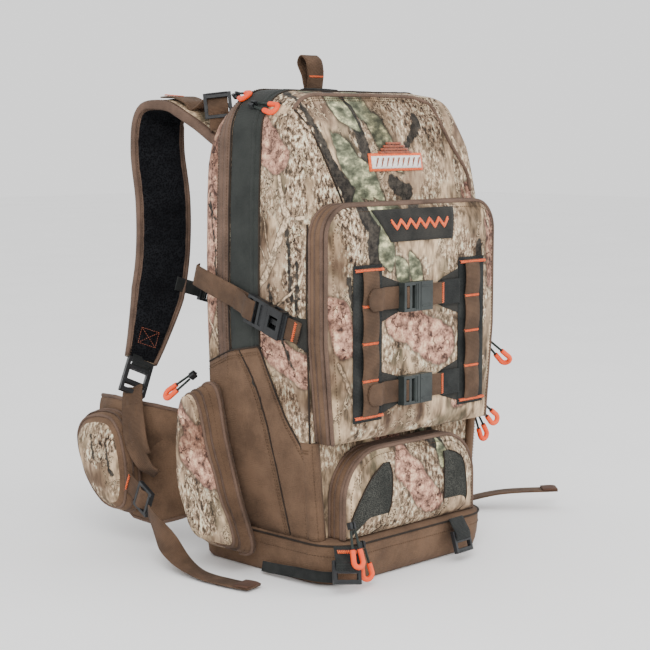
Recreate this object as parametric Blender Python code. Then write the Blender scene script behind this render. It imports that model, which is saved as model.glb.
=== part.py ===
"""Hunting backpack: panel-loading pack with a front pocket, harness, hip belt and buckled straps.

Metres, +Z up. The pack stands on its flat base, centred on the origin. Its outer face looks to -Y, the
wearer's back is at +Y and the wearer's left is -X. Every named object is one closed piece. Moving pieces
are parented to an empty on their joint's axis.
"""

import math

import bmesh
import bpy
from mathutils import Matrix, Vector

# ---------------------------------------------------------------- driving dimensions

GAP = 0.0004                 # clearance between neighbouring pieces
HALF_WIDTH = 0.146           # body half width at mid height
BODY_TOP = 0.548             # highest point of the body
BASE_LIP = 0.046             # height of the base panel's wrap
SHELL_WALL = 0.003           # padded fabric wall
TOP_RADIUS = 0.052           # rounding of the body's upper corners

Y_BACK = 0.104               # back face of the body
Y_REAR_SHOULDER = 0.085      # where the back face rounds into the sides
Y_BAND_REAR = 0.045          # camo rear section meets the stretch band
Y_BAND_FRONT = -0.005        # stretch band meets the front section
Y_CROWN = -0.045             # top starts to fall toward the front
Y_PIPING = -0.060            # front edge of the top, at its piping
Y_FRONT = -0.078             # front face behind the pockets
Z_PIPING = 0.514

POCKET_FRONT = -0.101        # front rim of the pocket walls
POCKET_HALF = 0.141
POCKET_TOP = 0.420
POCKET_BOTTOM = 0.160
POCKET_RADIUS = 0.034
LOWER_TOP = 0.147
LOWER_BOTTOM = 0.050
FLAP_CROWN = 0.014           # how far the flaps bulge forward

WEB = 0.025                  # webbing width
WEB_THICK = 0.0018
MOLLE_X = 0.088              # centre of each ladder column
MOLLE_BOTTOM = 0.187
MOLLE_TOP = 0.352
COLUMN_WIDTH = 0.046

COMP_REAR = Vector((-0.1500, 0.098, 0.336))
COMP_FRONT = Vector((-0.1500, -0.094, 0.276))

BODIES = {}
MATERIALS = {}


# ---------------------------------------------------------------- scene and materials

def clear_scene():
    for obj in list(bpy.data.objects):
        bpy.data.objects.remove(obj, do_unlink=True)


def make_material(name, color, roughness, metallic=0.0):
    material = bpy.data.materials.new(name)
    material.use_nodes = True
    shader = material.node_tree.nodes["Principled BSDF"]
    shader.inputs["Base Color"].default_value = (*color, 1.0)
    shader.inputs["Roughness"].default_value = roughness
    shader.inputs["Metallic"].default_value = metallic
    MATERIALS[name] = material


def make_materials():
    make_material("camo_fabric", (0.36, 0.30, 0.24), 0.85)
    make_material("brown_fabric", (0.20, 0.135, 0.09), 0.85)
    make_material("brown_webbing", (0.17, 0.105, 0.06), 0.8)
    make_material("zip_tape", (0.22, 0.155, 0.12), 0.8)
    make_material("stretch_panel", (0.035, 0.04, 0.035), 0.9)
    make_material("spacer_mesh", (0.02, 0.02, 0.02), 0.9)
    make_material("black_webbing", (0.025, 0.028, 0.024), 0.8)
    make_material("black_acetal", (0.02, 0.022, 0.024), 0.4)
    make_material("orange_sleeve", (0.85, 0.18, 0.05), 0.5)
    make_material("pull_cord", (0.02, 0.022, 0.02), 0.8)
    make_material("frame_plastic", (0.05, 0.05, 0.05), 0.5)


def pivot(name, location):
    """An empty on a moving body's joint axis."""
    empty = bpy.data.objects.new("axis_" + name, None)
    empty.location = location
    bpy.context.scene.collection.objects.link(empty)
    BODIES[name] = empty
    return empty


def add_object(name, bm, material, body=None, smooth=False):
    """Turns a bmesh in world coordinates into a named object, riding on its body's empty."""
    bmesh.ops.remove_doubles(bm, verts=bm.verts, dist=0.00002)
    bmesh.ops.recalc_face_normals(bm, faces=bm.faces)
    empty = BODIES.get(body)
    if empty is not None:
        bmesh.ops.translate(bm, verts=bm.verts, vec=-empty.location)
    mesh = bpy.data.meshes.new(name)
    bm.to_mesh(mesh)
    bm.free()
    mesh.materials.append(MATERIALS[material])
    for polygon in mesh.polygons:
        polygon.use_smooth = smooth
    obj = bpy.data.objects.new(name, mesh)
    bpy.context.scene.collection.objects.link(obj)
    obj.parent = empty
    return obj


def add_bevel(obj, width, segments=2, angle=40):
    bevel = obj.modifiers.new("bevel", "BEVEL")
    bevel.width = width
    bevel.segments = segments
    bevel.limit_method = "ANGLE"
    bevel.angle_limit = math.radians(angle)


# ---------------------------------------------------------------- general builders

def bridge(bm, loops):
    """Joins rings of vertices, each with the same count, by quads."""
    for first, second in zip(loops, loops[1:]):
        count = len(first)
        for i in range(count):
            j = (i + 1) % count
            bm.faces.new((first[i], first[j], second[j], second[i]))


def row_cap(bm, loop):
    """Closes a symmetric ring by rows: its first half climbs one side and its second half comes back."""
    half = len(loop) // 2
    for i in range(half - 1):
        bm.faces.new((loop[i], loop[i + 1], loop[-2 - i], loop[-1 - i]))


def loft(bm, rings, closed_rows=False):
    loops = [[bm.verts.new(p) for p in ring] for ring in rings]
    bridge(bm, loops)
    for loop in (loops[0], loops[-1]):
        if closed_rows:
            row_cap(bm, loop)
        else:
            bm.faces.new(loop)


def tube_ring(bm, outer, inner):
    """An open ring: outer skin, inner skin and the two rims."""
    outer_loops = [[bm.verts.new(p) for p in ring] for ring in outer]
    inner_loops = [[bm.verts.new(p) for p in ring] for ring in inner]
    bridge(bm, outer_loops)
    bridge(bm, inner_loops)
    bridge(bm, [outer_loops[0], inner_loops[0]])
    bridge(bm, [outer_loops[-1], inner_loops[-1]])


def cup(bm, outer, inner):
    """A cup: the outer skin's first ring and the inner skin's first ring are closed, the mouth is last."""
    outer_loops = [[bm.verts.new(p) for p in ring] for ring in outer]
    inner_loops = [[bm.verts.new(p) for p in ring] for ring in inner]
    bridge(bm, outer_loops)
    bridge(bm, inner_loops)
    bridge(bm, [outer_loops[-1], inner_loops[-1]])
    row_cap(bm, outer_loops[0])
    row_cap(bm, inner_loops[0])


def box_solid(bm, add, cut=(), matrix=Matrix.Identity(4)):
    """Closed solid made of boxes (x0, x1, y0, y1, z0, z1) less other boxes, placed by a matrix."""
    boxes = list(add) + list(cut)
    cuts = [sorted({round(b[2 * axis + side], 6) for b in boxes for side in (0, 1)}) for axis in range(3)]

    def inside(box, centre):
        return all(box[2 * a] < centre[a] < box[2 * a + 1] for a in range(3))

    solid = set()
    for i in range(len(cuts[0]) - 1):
        for j in range(len(cuts[1]) - 1):
            for k in range(len(cuts[2]) - 1):
                centre = [(cuts[a][n] + cuts[a][n + 1]) / 2 for a, n in enumerate((i, j, k))]
                if any(inside(b, centre) for b in add) and not any(inside(b, centre) for b in cut):
                    solid.add((i, j, k))
    verts = {}

    def corner(i, j, k):
        if (i, j, k) not in verts:
            verts[i, j, k] = bm.verts.new(matrix @ Vector((cuts[0][i], cuts[1][j], cuts[2][k])))
        return verts[i, j, k]

    sides = {
        (-1, 0, 0): ((0, 0, 0), (0, 0, 1), (0, 1, 1), (0, 1, 0)),
        (1, 0, 0): ((1, 0, 0), (1, 1, 0), (1, 1, 1), (1, 0, 1)),
        (0, -1, 0): ((0, 0, 0), (1, 0, 0), (1, 0, 1), (0, 0, 1)),
        (0, 1, 0): ((0, 1, 0), (0, 1, 1), (1, 1, 1), (1, 1, 0)),
        (0, 0, -1): ((0, 0, 0), (0, 1, 0), (1, 1, 0), (1, 0, 0)),
        (0, 0, 1): ((0, 0, 1), (1, 0, 1), (1, 1, 1), (0, 1, 1)),
    }
    for i, j, k in solid:
        for (di, dj, dk), quad in sides.items():
            if (i + di, j + dj, k + dk) not in solid:
                bm.faces.new([corner(i + a, j + b, k + c) for a, b, c in quad])


def frame_matrix(origin, along, normal):
    """Local X runs along, local Z is the normal, local Y is across."""
    x = Vector(along).normalized()
    z = (Vector(normal) - x * x.dot(Vector(normal))).normalized()
    y = z.cross(x)
    matrix = Matrix((x, y, z)).transposed().to_4x4()
    matrix.translation = Vector(origin)
    return matrix


def smooth_path(points, per_span=4):
    """Catmull-Rom curve through the points."""
    pts = [Vector(p) for p in points]
    pts = [pts[0] * 2 - pts[1]] + pts + [pts[-1] * 2 - pts[-2]]
    path = []
    for a, b, c, d in zip(pts, pts[1:], pts[2:], pts[3:]):
        for step in range(per_span):
            t = step / per_span
            path.append(0.5 * ((2 * b) + (c - a) * t + (2 * a - 5 * b + 4 * c - d) * t * t
                               + (3 * b - a - 3 * c + d) * t ** 3))
    path.append(pts[-2])
    return path


def band(bm, path, across, width, thick, bulge=0.0):
    """Sweeps a flat strip along a path. across and width are one value or one for each point."""
    rings = []
    count = len(path)
    for i, point in enumerate(path):
        tangent = (path[min(i + 1, count - 1)] - path[max(i - 1, 0)]).normalized()
        side = Vector(across[i] if isinstance(across, list) else across)
        side = (side - tangent * tangent.dot(side)).normalized()
        normal = tangent.cross(side)
        half = (width[i] if isinstance(width, list) else width) / 2
        t = (thick[i] if isinstance(thick, list) else thick) / 2
        ring = [point + side * half * u + normal * t * v
                for u, v in ((-1, -1 + bulge), (-0.6, -1), (0.6, -1), (1, -1 + bulge),
                             (1, 1 - bulge), (0.6, 1), (-0.6, 1), (-1, 1 - bulge))]
        if not bulge:
            ring = [ring[0], ring[3], ring[4], ring[7]]
        rings.append(ring)
    loft(bm, rings)


def mirrored(point, side):
    return Vector((point[0] * side, point[1], point[2]))


# ---------------------------------------------------------------- body form

ROWS = (0.006, 0.047, 0.150, 0.300, 0.420)
SIDE_Y = ((Y_BACK, 0.130), (Y_REAR_SHOULDER, 0.141), (Y_BAND_REAR, HALF_WIDTH), (Y_BAND_FRONT, 0.147),
          (Y_CROWN, 0.146), (Y_FRONT, 0.144))
TAPER_Z = ((0.0, -0.019), (0.047, -0.015), (0.150, -0.005), (0.300, 0.0), (0.420, -0.001), (0.550, -0.008))


def interpolate(table, value):
    points = sorted(table)
    if value <= points[0][0]:
        return points[0][1]
    for (x0, y0), (x1, y1) in zip(points, points[1:]):
        if value <= x1:
            return y0 + (y1 - y0) * (value - x0) / (x1 - x0)
    return points[-1][1]


def half_width(y, z):
    return interpolate(SIDE_Y, y) + interpolate(TAPER_Z, z)


def body_ring(y, top, inset=0.0, depth=None, radius=TOP_RADIUS):
    """One cross-section of the body: up the right side, over the rounded corner, and back down the left."""
    side = [(half_width(y, z) - inset, z + (inset if z == ROWS[0] else 0.0)) for z in ROWS]
    start = top - radius
    edge = half_width(y, start) - inset
    for step in range(0, 7):
        angle = math.radians(90 * step / 6)
        side.append((edge - radius * (1 - math.cos(angle)), start - inset + radius * math.sin(angle)))
    place = depth or (lambda z: y)
    right = [Vector((x, place(z), z)) for x, z in side]
    left = [Vector((-x, place(z), z)) for x, z in reversed(side)]
    return right + left


def front_lean(offset=0.0):
    """The front face stands upright behind the pocket and leans back above it."""
    def depth(z):
        share = max(0.0, (z - POCKET_TOP) / (Z_PIPING - POCKET_TOP))
        return Y_FRONT + (Y_PIPING - Y_FRONT) * min(share, 1.0) + offset
    return depth


def make_body():
    wall = SHELL_WALL
    bm = bmesh.new()
    outer = [body_ring(Y_BACK, 0.522, radius=0.075), body_ring(Y_REAR_SHOULDER, 0.536, radius=0.075),
             body_ring(Y_BAND_REAR + GAP, BODY_TOP)]
    inner = [body_ring(Y_BACK - wall, 0.522, wall, radius=0.075),
             body_ring(Y_REAR_SHOULDER, 0.536, wall, radius=0.075),
             body_ring(Y_BAND_REAR + GAP, BODY_TOP, wall)]
    cup(bm, outer, inner)
    add_object("main_shell", bm, "camo_fabric", smooth=False)

    bm = bmesh.new()
    mid = (Y_BAND_REAR + Y_BAND_FRONT) / 2
    tube_ring(bm, [body_ring(Y_BAND_REAR, BODY_TOP), body_ring(mid, BODY_TOP), body_ring(Y_BAND_FRONT, 0.546)],
              [body_ring(Y_BAND_REAR, BODY_TOP, wall), body_ring(mid, BODY_TOP, wall),
               body_ring(Y_BAND_FRONT, 0.546, wall)])
    add_object("gusset_band", bm, "stretch_panel")

    bm = bmesh.new()
    edge = Y_BAND_FRONT - GAP
    outer = [body_ring(Y_FRONT, Z_PIPING, 0.0, front_lean(), 0.045), body_ring(Y_CROWN, 0.538, radius=0.045),
             body_ring(edge, 0.546)]
    inner = [body_ring(Y_FRONT, Z_PIPING, wall, front_lean(wall), 0.045),
             body_ring(Y_CROWN, 0.538, wall, radius=0.045), body_ring(edge, 0.546, wall)]
    cup(bm, outer, inner)
    add_object("front_shell", bm, "camo_fabric")


def plan_ring(half, y_front, y_back, front_radius, back_radius, z, steps=4):
    ring = []
    for sx, sy, start in ((1, -1, -90), (1, 1, 0), (-1, 1, 90), (-1, -1, 180)):
        radius = back_radius if sy > 0 else front_radius
        centre = (sx * (half - radius), (y_back - radius) if sy > 0 else (y_front + radius))
        for step in range(steps + 1):
            angle = math.radians(start + 90 * step / steps)
            ring.append(Vector((centre[0] + radius * math.cos(angle), centre[1] + radius * math.sin(angle), z)))
    return ring


def make_base():
    """Tray of tough brown fabric that the body stands in."""
    bm = bmesh.new()
    outer = [plan_ring(0.1320, -0.103, 0.110, 0.034, 0.022, 0.0),
             plan_ring(0.1345, -0.110, 0.113, 0.040, 0.024, 0.012),
             plan_ring(0.1370, -0.116, 0.113, 0.045, 0.024, BASE_LIP)]
    inner = [plan_ring(0.1296, -0.100, 0.1080, 0.030, 0.018, 0.0055),
             plan_ring(0.1315, -0.106, 0.1095, 0.034, 0.020, 0.014),
             plan_ring(0.1350, -0.112, 0.1095, 0.042, 0.020, BASE_LIP)]
    outer_loops = [[bm.verts.new(p) for p in ring] for ring in outer]
    inner_loops = [[bm.verts.new(p) for p in ring] for ring in inner]
    bridge(bm, outer_loops)
    bridge(bm, inner_loops)
    bridge(bm, [outer_loops[-1], inner_loops[-1]])
    bm.faces.new(outer_loops[0])
    bm.faces.new(inner_loops[0])
    add_object("base_panel", bm, "brown_fabric")


def make_back():
    """Stiff frame sheet against the shell and the padded mesh back panel over it."""
    bm = bmesh.new()
    box_solid(bm, [(-0.105, 0.105, Y_BACK + GAP, Y_BACK + GAP + 0.0015, 0.062, 0.480)])
    add_object("frame_sheet", bm, "frame_plastic")
    bm = bmesh.new()
    back = Y_BACK + 2 * GAP + 0.0015
    rings = []
    for y, inset in ((back, 0.0), (back + 0.010, 0.0), (back + 0.016, 0.008)):
        ring = []
        for sx, sz, start in ((1, -1, -90), (1, 1, 0), (-1, 1, 90), (-1, -1, 180)):
            radius = 0.028
            cx = sx * (0.112 - inset - radius)
            cz = (0.476 - inset - radius) if sz > 0 else (0.060 + inset + radius)
            for step in range(5):
                angle = math.radians(start + 90 * step / 4)
                ring.append(Vector((cx + radius * math.cos(angle), y, cz + radius * math.sin(angle))))
        rings.append(ring)
    loft(bm, rings)
    add_object("back_pad", bm, "spacer_mesh")


def make_side_panels():
    """Brown wear panels over each lower side, cut along a diagonal front edge."""
    stations = ((0.086, 0.235), (Y_BAND_REAR, 0.252), (Y_BAND_FRONT, 0.262), (Y_CROWN, 0.185), (-0.0775, 0.140))
    for side, word in ((-1, "left"), (1, "right")):
        bm = bmesh.new()
        rings = []
        for y, top in stations:
            rows = [0.0475, 0.150, top] if top > 0.151 else [0.0475, 0.100, top]
            inner = [Vector((side * (half_width(y, z) + 0.0007), y, z)) for z in rows]
            outer = [Vector((side * (half_width(y, z) + 0.0025), y, z)) for z in rows]
            rings.append(inner + outer[::-1])
        loft(bm, rings)
        add_object("side_panel_" + word, bm, "brown_fabric")


def make_side_pockets():
    """Puffed zipped pouch on each lower side, wide at the foot and narrow at the top."""
    wall_front = ((0.060, 0.208), (0.046, 0.150), (0.026, 0.085), (0.004, 0.026))
    face_front = ((0.052, 0.192), (0.030, 0.145), (0.006, 0.090), (-0.016, 0.044))
    wall_back = ((0.080, 0.208), (0.088, 0.150), (0.088, 0.085), (0.070, 0.026))
    face_back = ((0.066, 0.192), (0.084, 0.145), (0.080, 0.090), (0.056, 0.044))
    for side, word in ((-1, "left"), (1, "right")):
        bm = bmesh.new()

        def ring(front, back, x):
            points = [Vector((side * x, y, z)) for y, z in front]
            return points + [Vector((side * x, y, z)) for y, z in reversed(back)]

        loft(bm, [ring(wall_front, wall_back, 0.1484), ring(face_front, wall_back, 0.174),
                  ring([(y + 0.012, z) for y, z in face_front], face_back, 0.194)])
        add_object("side_pocket_" + word, bm, "camo_fabric")


# ---------------------------------------------------------------- front pockets

def arch_ring(half, bottom, top, radius, y, inset=0.0, foot=0.0, steps=5):
    """Outline with square lower corners and rounded upper corners, climbing right and coming back left."""
    half = half - inset
    top = top - inset
    bottom = bottom + inset * 0.6
    radius = max(0.010, radius - inset * 0.5)
    side = [(half - foot, bottom), (half - foot * 0.3, (bottom + top - radius) / 2)]
    for step in range(steps + 1):
        angle = math.radians(90 * step / steps)
        side.append((half - radius * (1 - math.cos(angle)), top - radius + radius * math.sin(angle)))
    right = [Vector((x, y, z)) for x, z in side]
    return right + [Vector((-x, y, z)) for x, z in reversed(side)]


def make_pocket(wall_name, flap_name, half, bottom, top, radius, rim, body, foot=0.0):
    """A shallow pocket: its side wall, then the panel that closes it, hinged along its lower edge."""
    wall = 0.004
    back = Y_FRONT - GAP

    def outline(y, inset=0.0):
        return arch_ring(half, bottom, top, radius, y, inset, foot)

    bm = bmesh.new()
    tube_ring(bm, [outline(back), outline(rim)], [outline(back, wall), outline(rim, wall)])
    add_object(wall_name, bm, "zip_tape")
    bm = bmesh.new()
    face = rim - GAP
    loft(bm, [outline(face), outline(face - 0.005), outline(face - 0.011, 0.014),
              outline(face - FLAP_CROWN, 0.034)], closed_rows=True)
    add_object(flap_name, bm, "camo_fabric", body=body)


def make_front_pockets():
    pivot("front_flap", (0.0, POCKET_FRONT - 0.005, POCKET_BOTTOM))
    pivot("lower_flap", (0.0, POCKET_FRONT - 0.005, LOWER_BOTTOM))
    make_pocket("pocket_wall_upper", "front_flap", POCKET_HALF, POCKET_BOTTOM, POCKET_TOP, POCKET_RADIUS,
                POCKET_FRONT, "front_flap", foot=0.011)
    make_pocket("pocket_wall_lower", "lower_flap", 0.110, LOWER_BOTTOM, LOWER_TOP, 0.055,
                POCKET_FRONT + 0.002, "lower_flap")


FLAP_FACE = POCKET_FRONT - GAP - FLAP_CROWN


def make_ladder_columns():
    """Backing strip with a webbing ladder: the webbing stands off the strip between its bartacks."""
    steps = 4
    pitch = (MOLLE_TOP - MOLLE_BOTTOM) / steps
    back = FLAP_FACE - GAP
    for side, word in ((-1, "left"), (1, "right")):
        x = side * MOLLE_X
        half = COLUMN_WIDTH / 2
        base = (x - half, x + half, back - 0.0016, back, MOLLE_BOTTOM - 0.004, MOLLE_TOP + 0.004)
        web = (x - WEB / 2, x + WEB / 2, back - 0.0056, back - 0.0016, MOLLE_BOTTOM, MOLLE_TOP)
        slots = []
        for n in range(steps):
            low = MOLLE_BOTTOM + n * pitch + 0.004
            slots.append((x - WEB / 2 - 0.001, x + WEB / 2 + 0.001, back - 0.0040, back - 0.0016,
                          low, low + pitch - 0.008))
        bm = bmesh.new()
        box_solid(bm, [base, web], slots)
        add_object("ladder_column_" + word, bm, "black_webbing", body="front_flap")


def make_accessory_straps():
    """Two horizontal webbing straps across the flap, each with a pinch buckle that lets go."""
    inner = MOLLE_X - COLUMN_WIDTH / 2 - 0.001
    back = FLAP_FACE - GAP
    for z, word in ((0.3175, "upper"), (0.2125, "lower")):
        pivot("clip_" + word, (-0.036, back - 0.004, z))
        bm = bmesh.new()
        box_solid(bm, [(-inner, -0.014, back - WEB_THICK, back, z - WEB / 2, z + WEB / 2)])
        add_object("accessory_strap_" + word, bm, "brown_webbing", body="front_flap")
        # receiver: hollow body, open toward -X, sewn tab toward the right column
        bm = bmesh.new()
        lift = back - WEB_THICK - GAP
        box_solid(bm, [(-0.012, 0.008, lift - 0.0095, lift, z - 0.0165, z + 0.0165),
                       (0.008, inner, lift - 0.0025, lift, z - WEB / 2, z + WEB / 2)],
                  [(-0.013, 0.0035, lift - 0.0075, lift - 0.0020, z - 0.0135, z + 0.0135)])
        add_object("accessory_receiver_" + word, bm, "black_acetal", body="front_flap")
        # clip: bar frame with a tongue that sits inside the receiver
        bm = bmesh.new()
        box_solid(bm, [(-0.040, -0.0128, lift - 0.0095, lift, z - 0.0165, z + 0.0165),
                       (-0.0128, 0.0028, lift - 0.0070, lift - 0.0025, z - 0.0130, z + 0.0130)],
                  [(-0.036, -0.031, lift - 0.012, lift + 0.001, z - 0.0128, z + 0.0128),
                   (-0.027, -0.022, lift - 0.012, lift + 0.001, z - 0.0128, z + 0.0128)])
        add_object("accessory_clip_" + word, bm, "black_acetal", body="clip_" + word)


# ---------------------------------------------------------------- straps and buckles

def make_haul_loop():
    """Webbing grab loop folded over and sewn at the top of the back."""
    foot = BODY_TOP + 0.0075
    pivot("haul_loop", (-0.002, 0.054, BODY_TOP))
    path = smooth_path([(-0.002, 0.0522, foot), (-0.004, 0.0480, 0.568), (-0.009, 0.0465, 0.582),
                        (-0.011, 0.0530, 0.5890), (-0.009, 0.0600, 0.582), (-0.004, 0.0590, 0.568),
                        (-0.002, 0.0558, foot)], 4)
    bm = bmesh.new()
    band(bm, path, (1.0, 0.0, 0.0), 0.026, WEB_THICK)
    add_object("haul_loop", bm, "brown_webbing", body="haul_loop")


def make_compression_straps():
    """Webbing across the upper side with a side-release buckle between its two ends."""
    for side, word in ((-1, "left"), (1, "right")):
        rear = mirrored(COMP_REAR, -side)
        front = mirrored(COMP_FRONT, -side)
        along = (front - rear).normalized()
        outward = Vector((side, 0.0, 0.0))
        length = (front - rear).length
        place = frame_matrix(rear, along, outward)
        pivot("comp_clip_" + word, rear + along * 0.100)
        half = WEB / 2
        bm = bmesh.new()
        box_solid(bm, [(0.0, 0.112, -half, half, 0.0, WEB_THICK)], matrix=place)
        add_object("compression_strap_" + word, bm, "brown_webbing")
        # the receiver and its sewn tab
        z0 = 0.0006
        bm = bmesh.new()
        box_solid(bm, [(0.135, 0.158, -0.0165, 0.0165, z0, z0 + 0.0105),
                       (0.158, length, -half, half, z0, z0 + 0.003)],
                  [(0.134, 0.154, -0.0140, 0.0140, z0 + 0.0025, z0 + 0.0080),
                   (0.141, 0.151, -0.0170, -0.0135, z0 + 0.0025, z0 + 0.0080),
                   (0.141, 0.151, 0.0135, 0.0170, z0 + 0.0025, z0 + 0.0080)], matrix=place)
        add_object("side_receiver_" + word, bm, "black_acetal")
        # the clip: bar frame riding on the webbing, two spring arms and a guide tongue
        z1 = WEB_THICK + GAP
        bm = bmesh.new()
        box_solid(bm, [(0.100, 0.1346, -0.0165, 0.0165, z1, z1 + 0.0075),
                       (0.1346, 0.1530, -0.0030, 0.0030, z1 + 0.0015, z1 + 0.0050),
                       (0.1346, 0.1500, -0.0130, -0.0095, z1 + 0.0015, z1 + 0.0050),
                       (0.1346, 0.1500, 0.0095, 0.0130, z1 + 0.0015, z1 + 0.0050)],
                  [(0.104, 0.109, -0.0130, 0.0130, z1 - 0.001, z1 + 0.010),
                   (0.1135, 0.1185, -0.0130, 0.0130, z1 - 0.001, z1 + 0.010)], matrix=place)
        add_object("side_clip_" + word, bm, "black_acetal", body="comp_clip_" + word)


STRAP_ROUTE = ((-0.066, 0.123, 0.488), (-0.071, 0.160, 0.513), (-0.077, 0.200, 0.531), (-0.085, 0.236, 0.520),
               (-0.091, 0.237, 0.478), (-0.095, 0.223, 0.417), (-0.099, 0.219, 0.356), (-0.110, 0.216, 0.306),
               (-0.134, 0.206, 0.257), (-0.152, 0.199, 0.226))
STRAP_TOP_ANCHOR = (-0.066, 0.123, 0.488)
STRAP_FOOT_ANCHOR = (-0.168, 0.152, 0.095)


def make_shoulder_straps():
    """Padded S-curved straps, the side-release link at each foot and the webbing down to the lower corner."""
    for side, word in ((-1, "left"), (1, "right")):
        body = "strap_" + word
        pivot(body, (mirrored(STRAP_TOP_ANCHOR, -side) + mirrored(STRAP_FOOT_ANCHOR, -side)) / 2)
        path = smooth_path([mirrored(p, -side) for p in STRAP_ROUTE], 3)
        count = len(path)
        widths = [0.062 + 0.006 * math.sin(math.pi * i / (count - 1)) - 0.022 * max(0.0, i / (count - 1) - 0.8) / 0.2
                  for i in range(count)]
        turn = [min(1.0, i / (count * 0.45)) for i in range(count)]
        across = [Vector((1.0, side * 0.42 * t, 0.0)) for t in turn]
        bm = bmesh.new()
        band(bm, path, across, widths, 0.015, bulge=0.45)
        add_object("shoulder_strap_" + word, bm, "camo_fabric", body=body)
        # link at the foot: a frame with two windows
        foot = path[-1]
        down = (path[-1] - path[-3]).normalized()
        link = frame_matrix(foot + down * (GAP + 0.0005), down, Vector((side * 0.4, -0.9, 0.0)))
        bm = bmesh.new()
        box_solid(bm, [(0.0, 0.044, -0.0165, 0.0165, -0.004, 0.004)],
                  [(0.004, 0.010, -0.0125, 0.0125, -0.005, 0.005), (0.014, 0.028, -0.0115, 0.0115, -0.005, 0.005),
                   (0.033, 0.039, -0.0125, 0.0125, -0.005, 0.005)], matrix=link)
        add_object("strap_link_" + word, bm, "black_acetal", body=body)
        end = foot + down * 0.0485
        web = smooth_path([end, mirrored((-0.1800, 0.186, 0.158), -side), mirrored((-0.1830, 0.176, 0.130), -side),
                           mirrored((-0.1780, 0.162, 0.106), -side), mirrored(STRAP_FOOT_ANCHOR, -side)], 4)
        bm = bmesh.new()
        band(bm, web, Vector((0.7, side * 0.7, 0.0)), WEB, WEB_THICK)
        add_object("strap_webbing_" + word, bm, "brown_webbing", body=body)


def make_load_lifters():
    """Ladder lock above each strap, with its webbing down to the pack's top edge."""
    for side, word in ((-1, "left"), (1, "right")):
        origin = mirrored((-0.091, 0.1215, 0.516), -side)
        place = frame_matrix(origin, Vector((0.0, 0.15, 1.0)), Vector((side * 0.7, -0.7, 0.0)))
        bm = bmesh.new()
        box_solid(bm, [(0.0, 0.030, -0.0165, 0.0165, 0.0, 0.005), (-0.010, 0.0, -WEB / 2, WEB / 2, 0.001, 0.004)],
                  [(0.004, 0.011, -0.0125, 0.0125, -0.001, 0.006), (0.016, 0.024, -0.0125, 0.0125, -0.001, 0.006)],
                  matrix=place)
        add_object("load_lifter_" + word, bm, "black_acetal")


def make_sternum_strap():
    """Half of the chest strap on each shoulder strap, unfastened."""
    for side, word in ((-1, "left"), (1, "right")):
        body = "strap_" + word
        inner = mirrored((-0.0735, 0.2005, 0.309), -side)
        place = frame_matrix(inner, Vector((-side, -0.10, -0.30)), Vector((0.0, -1.0, 0.0)))
        bm = bmesh.new()
        if side < 0:
            box_solid(bm, [(0.0, 0.020, -0.0080, 0.0080, -0.001, 0.001), (0.020, 0.034, -0.012, 0.012, -0.003, 0.003),
                           (0.034, 0.047, -0.0100, -0.0070, -0.0018, 0.0018),
                           (0.034, 0.047, 0.0070, 0.0100, -0.0018, 0.0018),
                           (0.034, 0.050, -0.0018, 0.0018, -0.0018, 0.0018)],
                      [(0.024, 0.029, -0.008, 0.008, -0.004, 0.004)], matrix=place)
        else:
            box_solid(bm, [(0.0, 0.020, -0.0080, 0.0080, -0.001, 0.001), (0.020, 0.044, -0.012, 0.012, -0.004, 0.004)],
                      [(0.030, 0.045, -0.0105, 0.0105, -0.0024, 0.0024)], matrix=place)
        add_object("sternum_clip_" + word, bm, "black_acetal", body=body)


# ---------------------------------------------------------------- hip belt

WING_PLAN = ((-0.112, 0.128), (-0.136, 0.142), (-0.154, 0.170), (-0.161, 0.205), (-0.160, 0.242), (-0.152, 0.276))
WING_TOP = (0.160, 0.168, 0.174, 0.176, 0.177, 0.174)
WING_FOOT = (0.050, 0.040, 0.030, 0.034, 0.058, 0.086)


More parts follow.
